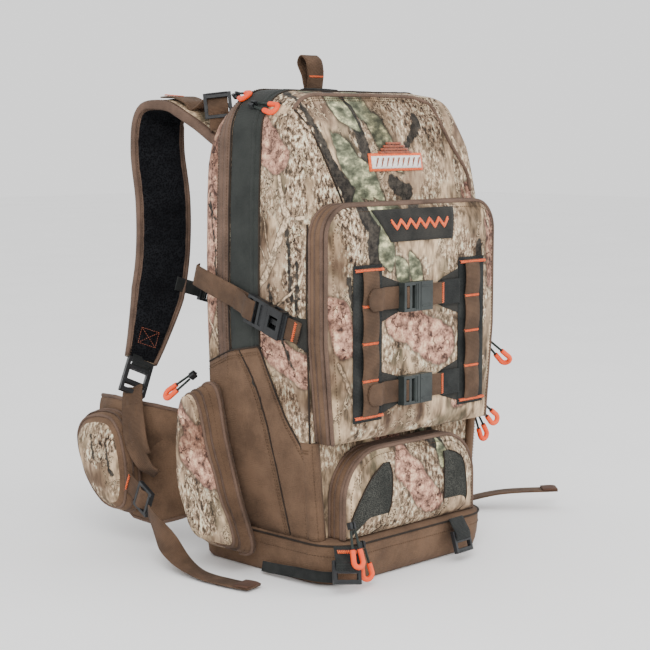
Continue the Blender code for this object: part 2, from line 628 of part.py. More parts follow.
def make_hip_belt():
    """Padded wings behind the lower corners, with their zipped pouches, waist clips and stabiliser webbing."""
    for side, word in ((-1, "left"), (1, "right")):
        body = "belt_" + word
        pivot(body, mirrored((-0.110, 0.124, 0.105), -side))
        bm = bmesh.new()
        rings = []
        for i, ((x, y), top, foot) in enumerate(zip(WING_PLAN, WING_TOP, WING_FOOT)):
            ahead = Vector(WING_PLAN[min(i + 1, 5)]) - Vector(WING_PLAN[max(i - 1, 0)])
            normal = Vector((-ahead[1], ahead[0])).normalized() * 0.0055
            ring = []
            for z, k in ((foot, 0.4), (foot + 0.012, 1.0), (top - 0.012, 1.0), (top, 0.4)):
                ring.append(mirrored((x + normal[0] * k, y + normal[1] * k, z), -side))
            for z, k in ((top, 0.4), (top - 0.012, 1.0), (foot + 0.012, 1.0), (foot, 0.4)):
                ring.append(mirrored((x - normal[0] * k, y - normal[1] * k, z), -side))
            rings.append(ring)
        loft(bm, rings)
        add_object("belt_wing_" + word, bm, "brown_fabric", body=body)
        # pouch on the outside of the wing
        bm = bmesh.new()
        rings = []
        for x, share in ((0.1674, 1.0), (0.184, 0.96), (0.197, 0.80)):
            outline = ((0.194, 0.046), (0.230, 0.052), (0.266, 0.082), (0.284, 0.126), (0.264, 0.152), (0.214, 0.156),
                       (0.190, 0.116))
            rings.append([mirrored((-x, 0.232 + (y - 0.232) * share, 0.112 + (z - 0.112) * share), -side)
                          for y, z in outline])
        loft(bm, rings)
        add_object("belt_pouch_" + word, bm, "camo_fabric", body=body)
        # waist clip on its webbing, curling toward the wearer's front
        tip = mirrored((-0.149, 0.2835, 0.130), -side)
        place = frame_matrix(tip, Vector((-side * 0.80, 0.30, 0.0)), Vector((side * 0.3, 0.8, 0.0)))
        bm = bmesh.new()
        if side < 0:
            box_solid(bm, [(0.0, 0.034, -0.019, 0.019, -0.001, 0.001), (0.034, 0.056, -0.024, 0.024, -0.004, 0.004),
                           (0.056, 0.084, -0.020, -0.015, -0.0022, 0.0022),
                           (0.056, 0.084, 0.015, 0.020, -0.0022, 0.0022),
                           (0.056, 0.088, -0.004, 0.004, -0.0022, 0.0022)],
                      [(0.040, 0.048, -0.019, 0.019, -0.005, 0.005)], matrix=place)
        else:
            box_solid(bm, [(0.0, 0.034, -0.019, 0.019, -0.001, 0.001), (0.034, 0.082, -0.025, 0.025, -0.0055, 0.0055)],
                      [(0.050, 0.083, -0.0215, 0.0215, -0.0032, 0.0032)], matrix=place)
        add_object("waist_clip_" + word, bm, "black_acetal", body=body)


def make_stabilisers():
    """Lock and webbing that pull each wing toward the pack's lower corner; the spare end trails free."""
    tails = {
        "left": ((-0.196, 0.134, 0.058), (-0.200, 0.104, 0.036), (-0.205, 0.066, 0.014), (-0.205, 0.030, 0.004),
                 (-0.202, -0.012, 0.0030), (-0.196, -0.048, 0.0035)),
        "right": ((0.196, 0.134, 0.058), (0.206, 0.110, 0.034), (0.222, 0.082, 0.012), (0.244, 0.056, 0.005),
                  (0.300, 0.006, 0.020), (0.356, -0.048, 0.024)),
    }
    for side, word in ((-1, "left"), (1, "right")):
        body = "belt_" + word
        origin = mirrored((-0.184, 0.166, 0.074), -side)
        place = frame_matrix(origin, Vector((side * 0.10, -0.82, -0.36)), Vector((side, 0.0, 0.0)))
        bm = bmesh.new()
        box_solid(bm, [(0.0, 0.030, -0.0165, 0.0165, 0.0, 0.005), (-0.014, 0.0, -WEB / 2, WEB / 2, 0.001, 0.004)],
                  [(0.004, 0.011, -0.0125, 0.0125, -0.001, 0.006), (0.016, 0.024, -0.0125, 0.0125, -0.001, 0.006)],
                  matrix=place)
        add_object("stabiliser_lock_" + word, bm, "black_acetal", body=body)
        path = smooth_path(tails[word], 4)
        across = [Vector((side * 0.2, 0.3, 1.0)) if word == "left" else Vector((0.35, 0.45, 0.9))
                  for _ in path]
        flat = [Vector((0.9, 0.35, 0.0)) if word == "left" else Vector((0.65, 0.72, 0.0)) for _ in path]
        count = len(path)
        across = [a.lerp(b, min(1.0, i / (count * 0.55))) for i, (a, b) in enumerate(zip(across, flat))]
        bm = bmesh.new()
        band(bm, path, across, WEB, WEB_THICK)
        add_object("stabiliser_tail_" + word, bm, "brown_webbing", body=body)


# ---------------------------------------------------------------- lower front corners and zip pulls

def make_bottom_locks():
    """Ladder locks for lashing straps, one at each lower front corner."""
    spots = {"left": ((-0.126, -0.1195, 0.044), (-0.25, -0.30, -1.0), (-0.45, -1.0, 0.0)),
             "right": ((0.062, -0.1195, 0.044), (0.0, -0.30, -1.0), (0.1, -1.0, 0.0))}
    for word, (origin, along, normal) in spots.items():
        place = frame_matrix(origin, Vector(along), Vector(normal))
        bm = bmesh.new()
        box_solid(bm, [(0.010, 0.036, -0.0165, 0.0165, 0.0, 0.005), (0.0, 0.010, -WEB / 2, WEB / 2, 0.001, 0.0035)],
                  [(0.0135, 0.0195, -0.0125, 0.0125, -0.001, 0.006), (0.024, 0.031, -0.0125, 0.0125, -0.001, 0.006)],
                  matrix=place)
        add_object("lash_lock_" + word, bm, "black_acetal")


PULLS = {
    "side_pocket": ((-0.170, 0.088, 0.2190), (-0.30, 0.75, -0.62), (0.55, 0.40, 0.75)),
    "front_pocket": ((0.1545, -0.0900, 0.2460), (0.72, -0.20, -0.66), (0.30, -0.80, 0.50)),
    "lower_pocket": ((-0.1195, -0.1250, 0.067), (-0.10, -0.35, -1.0), (0.90, -0.20, 0.0)),
}
CORD = 0.0028
LOOP_LENGTH = 0.040
LOOP_HALF = 0.0058


def loop_route(start, along, side):
    """A cord loop that leaves its slider, turns round and comes back beside itself."""
    x = Vector(along).normalized()
    y = (Vector(side) - x * x.dot(Vector(side))).normalized()
    origin = Vector(start)
    straight = LOOP_LENGTH - LOOP_HALF
    points = [origin + x * straight * s + y * LOOP_HALF * (0.5 + 0.5 * s) for s in (0.0, 0.2, 0.4, 0.6, 0.8, 1.0)]
    for step in range(1, 8):
        angle = math.pi * step / 8
        points.append(origin + x * (straight + LOOP_HALF * math.sin(angle)) + y * LOOP_HALF * math.cos(angle))
    points += [origin + x * straight * s - y * LOOP_HALF * (0.5 + 0.5 * s) for s in (1.0, 0.8, 0.6, 0.4, 0.2, 0.0)]
    return points


def cord_object(name, points, radius, material, body):
    """A round tube along a polyline, closed at both ends."""
    bm = bmesh.new()
    rings = []
    count = len(points)
    reference = None
    for i, point in enumerate(points):
        tangent = (points[min(i + 1, count - 1)] - points[max(i - 1, 0)]).normalized()
        if reference is None:
            reference = tangent.orthogonal().normalized()
        reference = (reference - tangent * tangent.dot(reference)).normalized()
        across = tangent.cross(reference)
        rings.append([point + (reference * math.cos(a) + across * math.sin(a)) * radius
                      for a in (math.tau * k / 8 for k in range(8))])
    loft(bm, rings)
    return add_object(name, bm, material, body=body, smooth=True)


def sleeve_object(name, points, body):
    """Moulded sleeve round the far end of the loop: a tube with a bore."""
    bm = bmesh.new()
    count = len(points)
    outer = []
    inner = []
    reference = None
    for i, point in enumerate(points):
        tangent = (points[min(i + 1, count - 1)] - points[max(i - 1, 0)]).normalized()
        if reference is None:
            reference = tangent.orthogonal().normalized()
        reference = (reference - tangent * tangent.dot(reference)).normalized()
        across = tangent.cross(reference)
        turn = [reference * math.cos(a) + across * math.sin(a) for a in (math.tau * k / 8 for k in range(8))]
        outer.append([point + t * 0.0031 for t in turn])
        inner.append([point + t * 0.0019 for t in turn])
    tube_ring(bm, outer, inner)
    return add_object(name, bm, "orange_sleeve", body=body, smooth=True)


def make_pulls():
    for word, (start, along, side) in PULLS.items():
        body = "pull_" + word
        pivot(body, start)
        route = loop_route(start, along, side)
        cord_object("pull_cord_" + word, route, CORD / 2, "pull_cord", body)
        sleeve_object("pull_sleeve_" + word, route[3:16], body)
        bm = bmesh.new()
        place = frame_matrix(start, along, side)
        box_solid(bm, [(-0.0095, -0.0017, -0.0035, 0.0035, -0.0045, 0.0045)], matrix=place)
        add_object("zip_slider_" + word, bm, "black_acetal", body=body)


def main():
    clear_scene()
    make_materials()
    make_body()
    make_base()
    make_back()
    make_side_panels()
    make_side_pockets()
    make_front_pockets()
    make_ladder_columns()
    make_accessory_straps()
    make_haul_loop()
    make_compression_straps()
    make_shoulder_straps()
    make_load_lifters()
    make_sternum_strap()
    make_hip_belt()
    make_stabilisers()
    make_bottom_locks()
    make_pulls()


main()
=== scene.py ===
"""Looks of the hunting backpack: every piece is built here in metres, around the fixed model's bodies.

+Z is up, the outer face looks to -Y, the wearer's back is at +Y and the wearer's left is -X.
"""

import math

import bmesh
import bpy
from mathutils import Matrix, Vector, noise


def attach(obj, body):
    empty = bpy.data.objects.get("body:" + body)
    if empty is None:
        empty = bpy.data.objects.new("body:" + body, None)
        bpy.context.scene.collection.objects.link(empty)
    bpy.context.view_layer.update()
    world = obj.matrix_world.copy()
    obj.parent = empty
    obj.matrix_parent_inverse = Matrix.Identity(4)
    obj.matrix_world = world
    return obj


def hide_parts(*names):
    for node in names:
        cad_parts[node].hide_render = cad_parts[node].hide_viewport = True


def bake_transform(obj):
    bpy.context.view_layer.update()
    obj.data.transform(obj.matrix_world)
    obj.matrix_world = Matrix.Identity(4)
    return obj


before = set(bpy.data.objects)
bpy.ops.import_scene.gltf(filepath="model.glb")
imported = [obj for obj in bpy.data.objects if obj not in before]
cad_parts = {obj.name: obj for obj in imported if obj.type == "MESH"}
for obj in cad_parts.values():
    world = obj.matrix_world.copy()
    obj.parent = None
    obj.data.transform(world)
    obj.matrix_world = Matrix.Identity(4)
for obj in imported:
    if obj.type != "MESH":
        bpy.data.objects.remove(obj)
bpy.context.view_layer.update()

WEB = 0.025
WEB_THICK = 0.0018
COIL_RIPPLE = -0.22
SIDES = ((-1, "left"), (1, "right"))
MATERIALS = {}


# ---------------------------------------------------------------- camera

def make_camera():
    azimuth = math.radians(-45.27)
    elevation = math.radians(6.98)
    back = Vector((math.sin(azimuth) * math.cos(elevation), -math.cos(azimuth) * math.cos(elevation),
                   math.sin(elevation)))
    right = Vector((math.cos(azimuth), math.sin(azimuth), 0.0))
    up = back.cross(right)
    data = bpy.data.cameras.new("camera")
    data.sensor_width = 36.0
    data.lens = 87.633
    camera = bpy.data.objects.new("camera", data)
    matrix = Matrix((right, up, back)).transposed().to_4x4()
    distance = 1.877
    aim = Vector((0.0, 0.0, 0.27)) - right * 0.0259 + up * 0.0026
    matrix.translation = aim + back * distance
    camera.matrix_world = matrix
    bpy.context.scene.collection.objects.link(camera)
    bpy.context.scene.camera = camera


# ---------------------------------------------------------------- node materials

# brightness of the studio's light on a white surface
STUDIO = 1.55


def dye(red, green, blue):
    """Reflectance that shows as this colour, 0 to 255, in the studio's light."""
    def reflectance(value):
        share = value / 255.0
        return min(0.85, 0.345 * share ** 1.5 / (1.0 - share) / STUDIO)
    return (reflectance(red), reflectance(green), reflectance(blue), 1.0)


class Graph:
    """A material's node tree, with short calls for the nodes that the fabrics share."""

    def __init__(self, name, roughness, specular, sheen=0.0):
        self.material = bpy.data.materials.new(name)
        self.material.use_nodes = True
        self.tree = self.material.node_tree
        self.shader = self.tree.nodes["Principled BSDF"]
        self.shader.inputs["Roughness"].default_value = roughness
        self.shader.inputs["Specular IOR Level"].default_value = specular
        self.shader.inputs["Sheen Weight"].default_value = sheen
        MATERIALS[name] = self.material
        coords = self.tree.nodes.new("ShaderNodeTexCoord")
        self.place = coords.outputs["Object"]
        self.uv = coords.outputs["UV"]

    def add(self, kind, inputs, output=0, **settings):
        node = self.tree.nodes.new(kind)
        for key, value in settings.items():
            setattr(node, key, value)
        for key, value in inputs.items():
            if isinstance(value, bpy.types.NodeSocket):
                self.tree.links.new(value, node.inputs[key])
            else:
                node.inputs[key].default_value = value
        return node.outputs[output]

    def math(self, operation, a, b=0.0):
        return self.add("ShaderNodeMath", {0: a, 1: b}, operation=operation)

    def times(self, a, b):
        return self.math("MULTIPLY", a, b)

    def rescaled(self, a, factor, offset):
        return self.add("ShaderNodeMath", {0: a, 1: factor, 2: offset}, operation="MULTIPLY_ADD")

    def shifted(self, place, *offset):
        return self.vector("ADD", place, offset)

    def vector(self, operation, a, b=(0.0, 0.0, 0.0)):
        output = 1 if operation in ("DOT_PRODUCT", "LENGTH", "DISTANCE") else 0
        return self.add("ShaderNodeVectorMath", {0: a, 1: b}, output, operation=operation)

    def scaled(self, a, factor):
        return self.add("ShaderNodeVectorMath", {0: a, "Scale": factor}, operation="SCALE")

    def noise(self, place, scale, detail=3.0, rough=0.55, output=0):
        return self.add("ShaderNodeTexNoise", {"Vector": place, "Scale": scale, "Detail": detail,
                                               "Roughness": rough}, output)

    def cells(self, place, scale, feature="F1"):
        return self.add("ShaderNodeTexVoronoi", {"Vector": place, "Scale": scale}, feature=feature)

    def span(self, value, low, high, to_low=0.0, to_high=1.0):
        return self.add("ShaderNodeMapRange", {0: value, 1: low, 2: high, 3: to_low, 4: to_high},
                        interpolation_type="SMOOTHSTEP")

    def ramp(self, value, *stops):
        node = self.tree.nodes.new("ShaderNodeValToRGB")
        elements = node.color_ramp.elements
        while len(elements) < len(stops):
            elements.new(0.5)
        for element, (position, color) in zip(elements, stops):
            element.position = position
            element.color = color
        self.tree.links.new(value, node.inputs[0])
        return node.outputs[0]

    def mix(self, share, a, b, blend="MIX"):
        return self.add("ShaderNodeMix", {0: share, 6: a, 7: b}, 2, data_type="RGBA", blend_type=blend)

    def bump(self, *layers):
        """Height layers, each (value, distance in metres)."""
        normal = None
        for value, distance in layers:
            inputs = {"Height": value, "Distance": distance, "Strength": 1.0}
            if normal is not None:
                inputs["Normal"] = normal
            normal = self.add("ShaderNodeBump", inputs)
        self.tree.links.new(normal, self.shader.inputs["Normal"])

    def paint(self, color):
        self.tree.links.new(color, self.shader.inputs["Base Color"])

    def rough(self, value):
        self.tree.links.new(value, self.shader.inputs["Roughness"])


def cloth_weave(graph, scale=900.0):
    """Fine plain weave as a height, from two crossing waves, scale threads to the metre."""
    waves = []
    for direction in ("X", "Z"):
        waves.append(graph.add("ShaderNodeTexWave", {"Vector": graph.place, "Scale": scale / 6.3,
                                                     "Distortion": 0.6}, 1, bands_direction=direction))
    return graph.times(waves[0], waves[1])


def capsule_group():
    """Signed distance to a tapering stroke, joined with what lies below it."""
    group = bpy.data.node_groups.new("stroke", "ShaderNodeTree")
    face = group.interface
    for name, kind in (("Place", "Vector"), ("Start", "Vector"), ("Along", "Vector"), ("Unit", "Vector"),
                       ("Radius", "Float"), ("Taper", "Float"), ("Lens", "Float"), ("Below", "Float")):
        face.new_socket(name, in_out="INPUT", socket_type="NodeSocket" + kind)
    face.new_socket("Distance", in_out="OUTPUT", socket_type="NodeSocketFloat")
    source = group.nodes.new("NodeGroupInput")
    target = group.nodes.new("NodeGroupOutput")

    def node(kind, operation, *inputs, clamp=False):
        item = group.nodes.new(kind)
        item.operation = operation
        if clamp:
            item.use_clamp = True
        for index, value in enumerate(inputs):
            if isinstance(value, bpy.types.NodeSocket):
                group.links.new(value, item.inputs[index])
            else:
                item.inputs[index].default_value = value
        return item

    vec = "ShaderNodeVectorMath"
    num = "ShaderNodeMath"
    offset = node(vec, "SUBTRACT", source.outputs["Place"], source.outputs["Start"]).outputs[0]
    share = node(vec, "DOT_PRODUCT", offset, source.outputs["Unit"]).outputs[1]
    share = node(num, "ADD", share, 0.0, clamp=True).outputs[0]
    reach = node(vec, "SCALE", source.outputs["Along"])
    group.links.new(share, reach.inputs["Scale"])
    gap = node(vec, "SUBTRACT", offset, reach.outputs[0]).outputs[0]
    length = node(vec, "LENGTH", gap).outputs[1]
    radius = node(num, "MULTIPLY_ADD", share, source.outputs["Taper"], source.outputs["Radius"]).outputs[0]
    hump = node(num, "SUBTRACT", 1.0, share).outputs[0]
    hump = node(num, "MULTIPLY", hump, share).outputs[0]
    radius = node(num, "MULTIPLY_ADD", hump, source.outputs["Lens"], radius).outputs[0]
    signed = node(num, "SUBTRACT", length, radius).outputs[0]
    joined = node(num, "MINIMUM", signed, source.outputs["Below"]).outputs[0]
    group.links.new(joined, target.inputs[0])
    return group


def strokes(graph, group, place, items, leaf=False):
    """Joined distance to strokes, each (u0, v0, u1, v1, radius at the start, radius at the end)."""
    below = 1.0
    for u0, v0, u1, v1, r0, r1 in items:
        along = Vector((u1 - u0, v1 - v0, 0.0))
        node = graph.tree.nodes.new("ShaderNodeGroup")
        node.node_tree = group
        values = {"Start": (u0, v0, 0.0), "Along": along, "Unit": along / along.length_squared,
                  "Radius": 0.0004 if leaf else r0, "Taper": 0.0 if leaf else r1 - r0,
                  "Lens": 4.0 * r0 if leaf else 0.0}
        for key, value in values.items():
            node.inputs[key].default_value = value
        graph.tree.links.new(place, node.inputs["Place"])
        if isinstance(below, float):
            node.inputs["Below"].default_value = below
        else:
            graph.tree.links.new(below, node.inputs["Below"])
        below = node.outputs[0]
    return below


# woodland picture in (across, height) metres: pink bark logs, pale and dark twigs, leaves and deep shade
SIDE_LOGS = (
    (0.004, 0.5, -0.03, 0.474, 0.021, 0.02), (0.094, 0.51, 0.082, 0.33, 0.024, 0.028),
    (0.02, 0.285, -0.07, 0.24, 0.015, 0.019), (0.07, 0.32, 0.098, 0.27, 0.01, 0.014),
    (0.064, 0.14, 0.024, 0.116, 0.02, 0.016), (0.084, 0.19, 0.05, 0.15, 0.008, 0.012),
)
SIDE_TWIGS = (
    (-0.052, 0.408, -0.022, 0.35, 0.0035, 0.0048), (-0.022, 0.35, 0.004, 0.318, 0.0048, 0.0026),
    (-0.02, 0.352, 0.006, 0.4, 0.001, 0.0008), (-0.024, 0.36, -0.012, 0.412, 0.001, 0.0008),
    (-0.052, 0.408, -0.036, 0.452, 0.0034, 0.002), (-0.028, 0.304, -0.064, 0.33, 0.0018, 0.0012),
    (-0.064, 0.404, -0.09, 0.41, 0.0026, 0.0016), (0.062, 0.25, 0.096, 0.3, 0.0022, 0.0014),
    (0.01, 0.232, 0.016, 0.262, 0.003, 0.002), (0.016, 0.262, 0.004, 0.3, 0.002, 0.0012),
    (0.03, 0.06, 0.07, 0.11, 0.0018, 0.0012),
)
SIDE_DARKS = (
    (-0.05, 0.398, -0.06, 0.318, 0.0024, 0.0034), (-0.02, 0.33, -0.034, 0.29, 0.0022, 0.0026),
    (-0.034, 0.29, -0.058, 0.24, 0.0026, 0.0018), (-0.066, 0.36, -0.068, 0.27, 0.002, 0.0022),
    (-0.032, 0.312, -0.07, 0.318, 0.0012, 0.0016), (0.082, 0.43, 0.066, 0.33, 0.0012, 0.002),
    (0.07, 0.4, 0.1, 0.43, 0.0012, 0.0016), (0.216, 0.128, 0.204, 0.09, 0.0016, 0.0028),
    (0.244, 0.132, 0.236, 0.104, 0.0014, 0.0022),
)
SIDE_BARKS = (
    (-0.046, 0.51, -0.074, 0.42, 0.014, 0.02), (-0.06, 0.4, -0.06, 0.3, 0.01, 0.014),
    (0.06, 0.1, 0.04, 0.06, 0.014, 0.016), (0.21, 0.13, 0.24, 0.11, 0.016, 0.014),
)
FRONT_LOGS = (
    (-0.036, 0.408, 0.034, 0.374, 0.021, 0.024), (-0.128, 0.42, -0.122, 0.38, 0.015, 0.013),
    (-0.022, 0.236, 0.024, 0.19, 0.016, 0.018), (0.062, 0.3, 0.104, 0.318, 0.006, 0.012),
    (0.126, 0.505, 0.134, 0.44, 0.01, 0.012),
)
FRONT_TWIGS = (
    (0.104, 0.33, 0.118, 0.35, 0.0026, 0.0016), (0.082, 0.3, 0.11, 0.32, 0.0018, 0.0014),
    (0.058, 0.246, 0.064, 0.262, 0.0028, 0.002), (0.112, 0.56, 0.124, 0.5, 0.002, 0.0014),
    (-0.126, 0.36, -0.104, 0.31, 0.002, 0.0014),
)
FRONT_DARKS = (
    (-0.122, 0.576, -0.09, 0.524, 0.003, 0.006), (-0.09, 0.524, -0.07, 0.5, 0.008, 0.011),
    (-0.054, 0.58, -0.044, 0.548, 0.007, 0.008), (-0.006, 0.52, 0.02, 0.508, 0.008, 0.01),
    (0.03, 0.554, 0.052, 0.572, 0.004, 0.006), (-0.078, 0.506, -0.074, 0.47, 0.008, 0.01),
    (0.104, 0.486, 0.108, 0.452, 0.005, 0.007), (0.012, 0.262, 0.04, 0.246, 0.007, 0.008),
    (-0.114, 0.456, -0.094, 0.36, 0.003, 0.003), (0.06, 0.226, 0.074, 0.2, 0.006, 0.007),
)
FRONT_LEAVES = (
    (-0.094, 0.566, -0.038, 0.5, 0.015, 0), (-0.07, 0.548, -0.02, 0.5, 0.012, 0),
    (-0.09, 0.592, -0.046, 0.566, 0.009, 0), (-0.032, 0.584, 0.012, 0.53, 0.012, 0),
    (-0.056, 0.592, -0.016, 0.574, 0.008, 0), (-0.064, 0.512, -0.05, 0.462, 0.011, 0),
    (-0.044, 0.478, -0.018, 0.446, 0.009, 0), (-0.02, 0.482, 0.004, 0.44, 0.01, 0),
    (0.038, 0.252, 0.05, 0.222, 0.006, 0),
)
FRONT_BARKS = (
    (0.004, 0.6, 0.08, 0.574, 0.018, 0.02), (-0.13, 0.58, -0.112, 0.5, 0.016, 0.014),
    (-0.108, 0.524, -0.106, 0.47, 0.014, 0.012), (0.104, 0.44, 0.112, 0.4, 0.01, 0.012),
    (-0.06, 0.2, -0.04, 0.17, 0.012, 0.01),
)


def camo_material(name, group, axes, logs, twigs, darks, leaves, barks):
    """Woodland print. axes are the two directions that its picture unrolls along."""
    graph = Graph(name, roughness=0.9, specular=0.12, sheen=0.04)
    place = graph.place
    across = graph.vector("DOT_PRODUCT", place, axes[0])
    height = graph.vector("DOT_PRODUCT", place, axes[1])
    flat = graph.add("ShaderNodeCombineXYZ", {0: across, 1: height})
    drift = graph.vector("SUBTRACT", graph.noise(place, 30.0, 3.0, 0.6, 1), (0.5, 0.5, 0.5))
    drift = graph.vector("MULTIPLY", drift, (0.016, 0.016, 0.0))
    flat = graph.vector("ADD", flat, drift)

    # blurred trunks behind everything
    tall = graph.vector("MULTIPLY", place, (1.0, 1.0, 0.32))
    streak = graph.noise(tall, 56.0, 3.0, 0.62)
    color = graph.ramp(streak, (0.3, dye(70, 60, 50)), (0.4, dye(124, 108, 88)),
                       (0.49, dye(172, 156, 134)), (0.59, dye(200, 188, 168)), (0.72, dye(124, 108, 92)))
    patch = graph.span(graph.noise(place, 11.0, 2.0), 0.52, 0.66)
    color = graph.mix(graph.times(patch, 0.5), color, dye(128, 104, 90))
    olive = graph.span(graph.noise(graph.shifted(place, 3.1, 0.4, 0.7), 17.0, 2.0), 0.54, 0.66)
    color = graph.mix(graph.times(olive, 0.6), color, dye(92, 90, 70))
    # crisp bark and grass, in patches
    crisp = graph.noise(graph.vector("MULTIPLY", place, (1.0, 1.0, 0.55)), 240.0, 5.0, 0.72)
    bark = graph.ramp(crisp, (0.38, dye(36, 30, 27)), (0.46, dye(98, 84, 71)), (0.54, dye(188, 172, 153)),
                      (0.62, dye(218, 209, 195)))
    where = graph.span(graph.noise(graph.shifted(place, 1.7, 5.2, 0.1), 18.0, 2.0), 0.46, 0.53)
    mapped = graph.math("ADD", strokes(graph, group, flat, barks),
                        graph.span(graph.noise(place, 120.0, 3.0), 0.3, 0.7, -0.006, 0.006))
    where = graph.math("MAXIMUM", graph.times(where, 0.75), graph.span(mapped, 0.002, -0.002))
    color = graph.mix(graph.times(where, 0.92), color, bark)
    # a net of thin dark and pale twigs over part of it
    warped = graph.vector("ADD", tall, graph.scaled(graph.noise(place, 34.0, 4.0, 0.65, 1), 0.05))
    web = graph.cells(warped, 26.0, "DISTANCE_TO_EDGE")
    bushy = graph.span(graph.noise(graph.shifted(place, 0.3, 2.2, 4.1), 22.0, 2.0), 0.5, 0.56)
    color = graph.mix(graph.times(graph.span(web, 0.06, 0.03), bushy), color, dye(64, 54, 48))
    color = graph.mix(graph.times(graph.span(web, 0.03, 0.018), bushy), color, dye(184, 172, 152))

    # logs: pink bark with specks, darker under the lower edge
    speck = graph.noise(place, 110.0, 5.0, 0.72)
    pink = graph.ramp(speck, (0.36, dye(88, 66, 58)), (0.45, dye(158, 129, 114)), (0.54, dye(190, 162, 145)),
                      (0.66, dye(214, 194, 176)))
    bent = graph.vector("ADD", place, graph.scaled(graph.noise(place, 70.0, 3.0, 0.6, 1), 0.022))
    cracks = graph.cells(bent, 70.0, "DISTANCE_TO_EDGE")
    patchy = graph.span(graph.noise(place, 60.0, 2.0), 0.45, 0.6)
    pink = graph.mix(graph.times(graph.span(cracks, 0.07, 0.015), patchy), pink, dye(78, 56, 52))
    logs_away = strokes(graph, group, flat, logs)
    inside = graph.span(logs_away, 0.0012, -0.0012)
    rim = graph.span(logs_away, -0.005, 0.0)
    pink = graph.mix(graph.times(rim, 0.45), pink, dye(110, 78, 72))
    outline = graph.times(graph.span(logs_away, 0.0044, 0.0), 0.7)
    color = graph.mix(outline, color, dye(70, 58, 52))
    color = graph.mix(inside, color, pink)

    # deep shade between the leaves
    if darks:
        shade = strokes(graph, group, flat, darks)
        ragged = graph.rescaled(graph.noise(place, 150.0, 3.0), 0.01, -0.005)
        speckle = graph.noise(place, 130.0, 4.0, 0.7)
        dark = graph.ramp(speckle, (0.4, dye(44, 42, 40)), (0.62, dye(88, 82, 74)))
        color = graph.mix(graph.span(graph.math("ADD", shade, ragged), 0.0012, -0.0012), color, dark)
    if leaves:
        leaf_away = strokes(graph, group, flat, leaves, leaf=True)
        shadow = graph.times(graph.span(leaf_away, 0.005, 0.0), 0.85)
        color = graph.mix(shadow, color, dye(44, 46, 42))
        veins = graph.noise(graph.vector("MULTIPLY", place, (1.0, 1.0, 1.6)), 62.0, 4.0, 0.6)
        leaf = graph.ramp(veins, (0.34, dye(78, 82, 66)), (0.45, dye(114, 118, 98)),
                          (0.54, dye(154, 156, 132)), (0.64, dye(202, 200, 176)))
        color = graph.mix(graph.span(leaf_away, 0.0008, -0.0008), color, leaf)
    if twigs:
        twig_away = strokes(graph, group, flat, twigs)
        shadow = graph.times(graph.span(twig_away, 0.0026, 0.0), 0.65)
        color = graph.mix(shadow, color, dye(66, 56, 50))
        grain = graph.noise(place, 260.0, 4.0, 0.7)
        grain = graph.ramp(grain, (0.4, dye(140, 126, 108)), (0.6, dye(206, 196, 180)))
        color = graph.mix(graph.span(twig_away, 0.0005, -0.0008), color, grain)
    broad = graph.ramp(graph.noise(graph.shifted(place, 7.3, 1.1, 2.9), 15.0, 3.0, 0.6),
                       (0.38, (0.52, 0.48, 0.45, 1.0)), (0.5, (1.0, 0.98, 0.96, 1.0)))
    color = graph.mix(1.0, color, broad, "MULTIPLY")
    graph.paint(color)
    wear = graph.noise(place, 60.0, 2.0)
    graph.rough(graph.span(wear, 0.3, 0.7, 0.8, 0.95))
    graph.bump((cloth_weave(graph), 0.00018), (graph.noise(place, 90.0, 3.0), 0.0009))


def cloth_material(name, dark, light, rough=0.88, sheen=0.04, weave=900.0, soft=0.0009):
    """Plain dyed cloth with faint shade changes, weave and small creases."""
    graph = Graph(name, roughness=rough, specular=0.12, sheen=sheen)
    tone = graph.noise(graph.place, 26.0, 4.0, 0.6)
    fleck = graph.noise(graph.place, 700.0, 2.0)
    tone = graph.math("ADD", graph.times(tone, 0.75), graph.times(fleck, 0.25))
    graph.paint(graph.ramp(tone, (0.36, dark), (0.62, light)))
    graph.rough(graph.span(tone, 0.3, 0.7, rough - 0.08, min(1.0, rough + 0.05)))
    graph.bump((cloth_weave(graph, weave), 0.00022), (graph.noise(graph.place, 80.0, 3.0), soft))


def webbing_material(name, dark, light):
    """Woven strap: ribs across it in a shallow chevron, from the strap's own length and width."""
    graph = Graph(name, roughness=0.82, specular=0.14, sheen=0.03)
    parts = graph.tree.nodes.new("ShaderNodeSeparateXYZ")
    graph.tree.links.new(graph.uv, parts.inputs[0])
    along = parts.outputs[0]
    across = parts.outputs[1]
    chevron = graph.math("ABSOLUTE", graph.math("SINE", graph.times(across, 900.0)))
    phase = graph.math("ADD", graph.times(along, 4200.0), graph.times(chevron, 1.8))
    rib = graph.rescaled(graph.math("SINE", phase), 0.5, 0.5)
    cords = graph.rescaled(graph.math("SINE", graph.times(across, 3800.0)), 0.5, 0.5)
    tone = graph.noise(graph.place, 40.0, 3.0)
    tone = graph.math("ADD", graph.times(tone, 0.8), graph.times(rib, 0.2))
    graph.paint(graph.ramp(tone, (0.36, dark), (0.66, light)))
    graph.rough(graph.span(rib, 0.0, 1.0, 0.86, 0.74))
    graph.bump((rib, 0.0003), (cords, 0.00016), (graph.noise(graph.place, 150.0, 3.0), 0.0004))


def mesh_material(name, dark, light, scale, depth):
    """Knitted mesh: rounded holes between soft threads."""
    graph = Graph(name, roughness=0.95, specular=0.06)
    hole = graph.cells(graph.place, scale)
    thread = graph.span(hole, 0.3, 0.62)
    tone = graph.noise(graph.place, 24.0, 3.0)
    color = graph.mix(thread, dark, light)
    graph.paint(graph.mix(graph.span(tone, 0.35, 0.65, 0.0, 0.5), color, dark))
    graph.rough(graph.span(thread, 0.0, 1.0, 0.98, 0.86))
    graph.bump((thread, depth), (graph.noise(graph.place, 60.0, 3.0), 0.001))


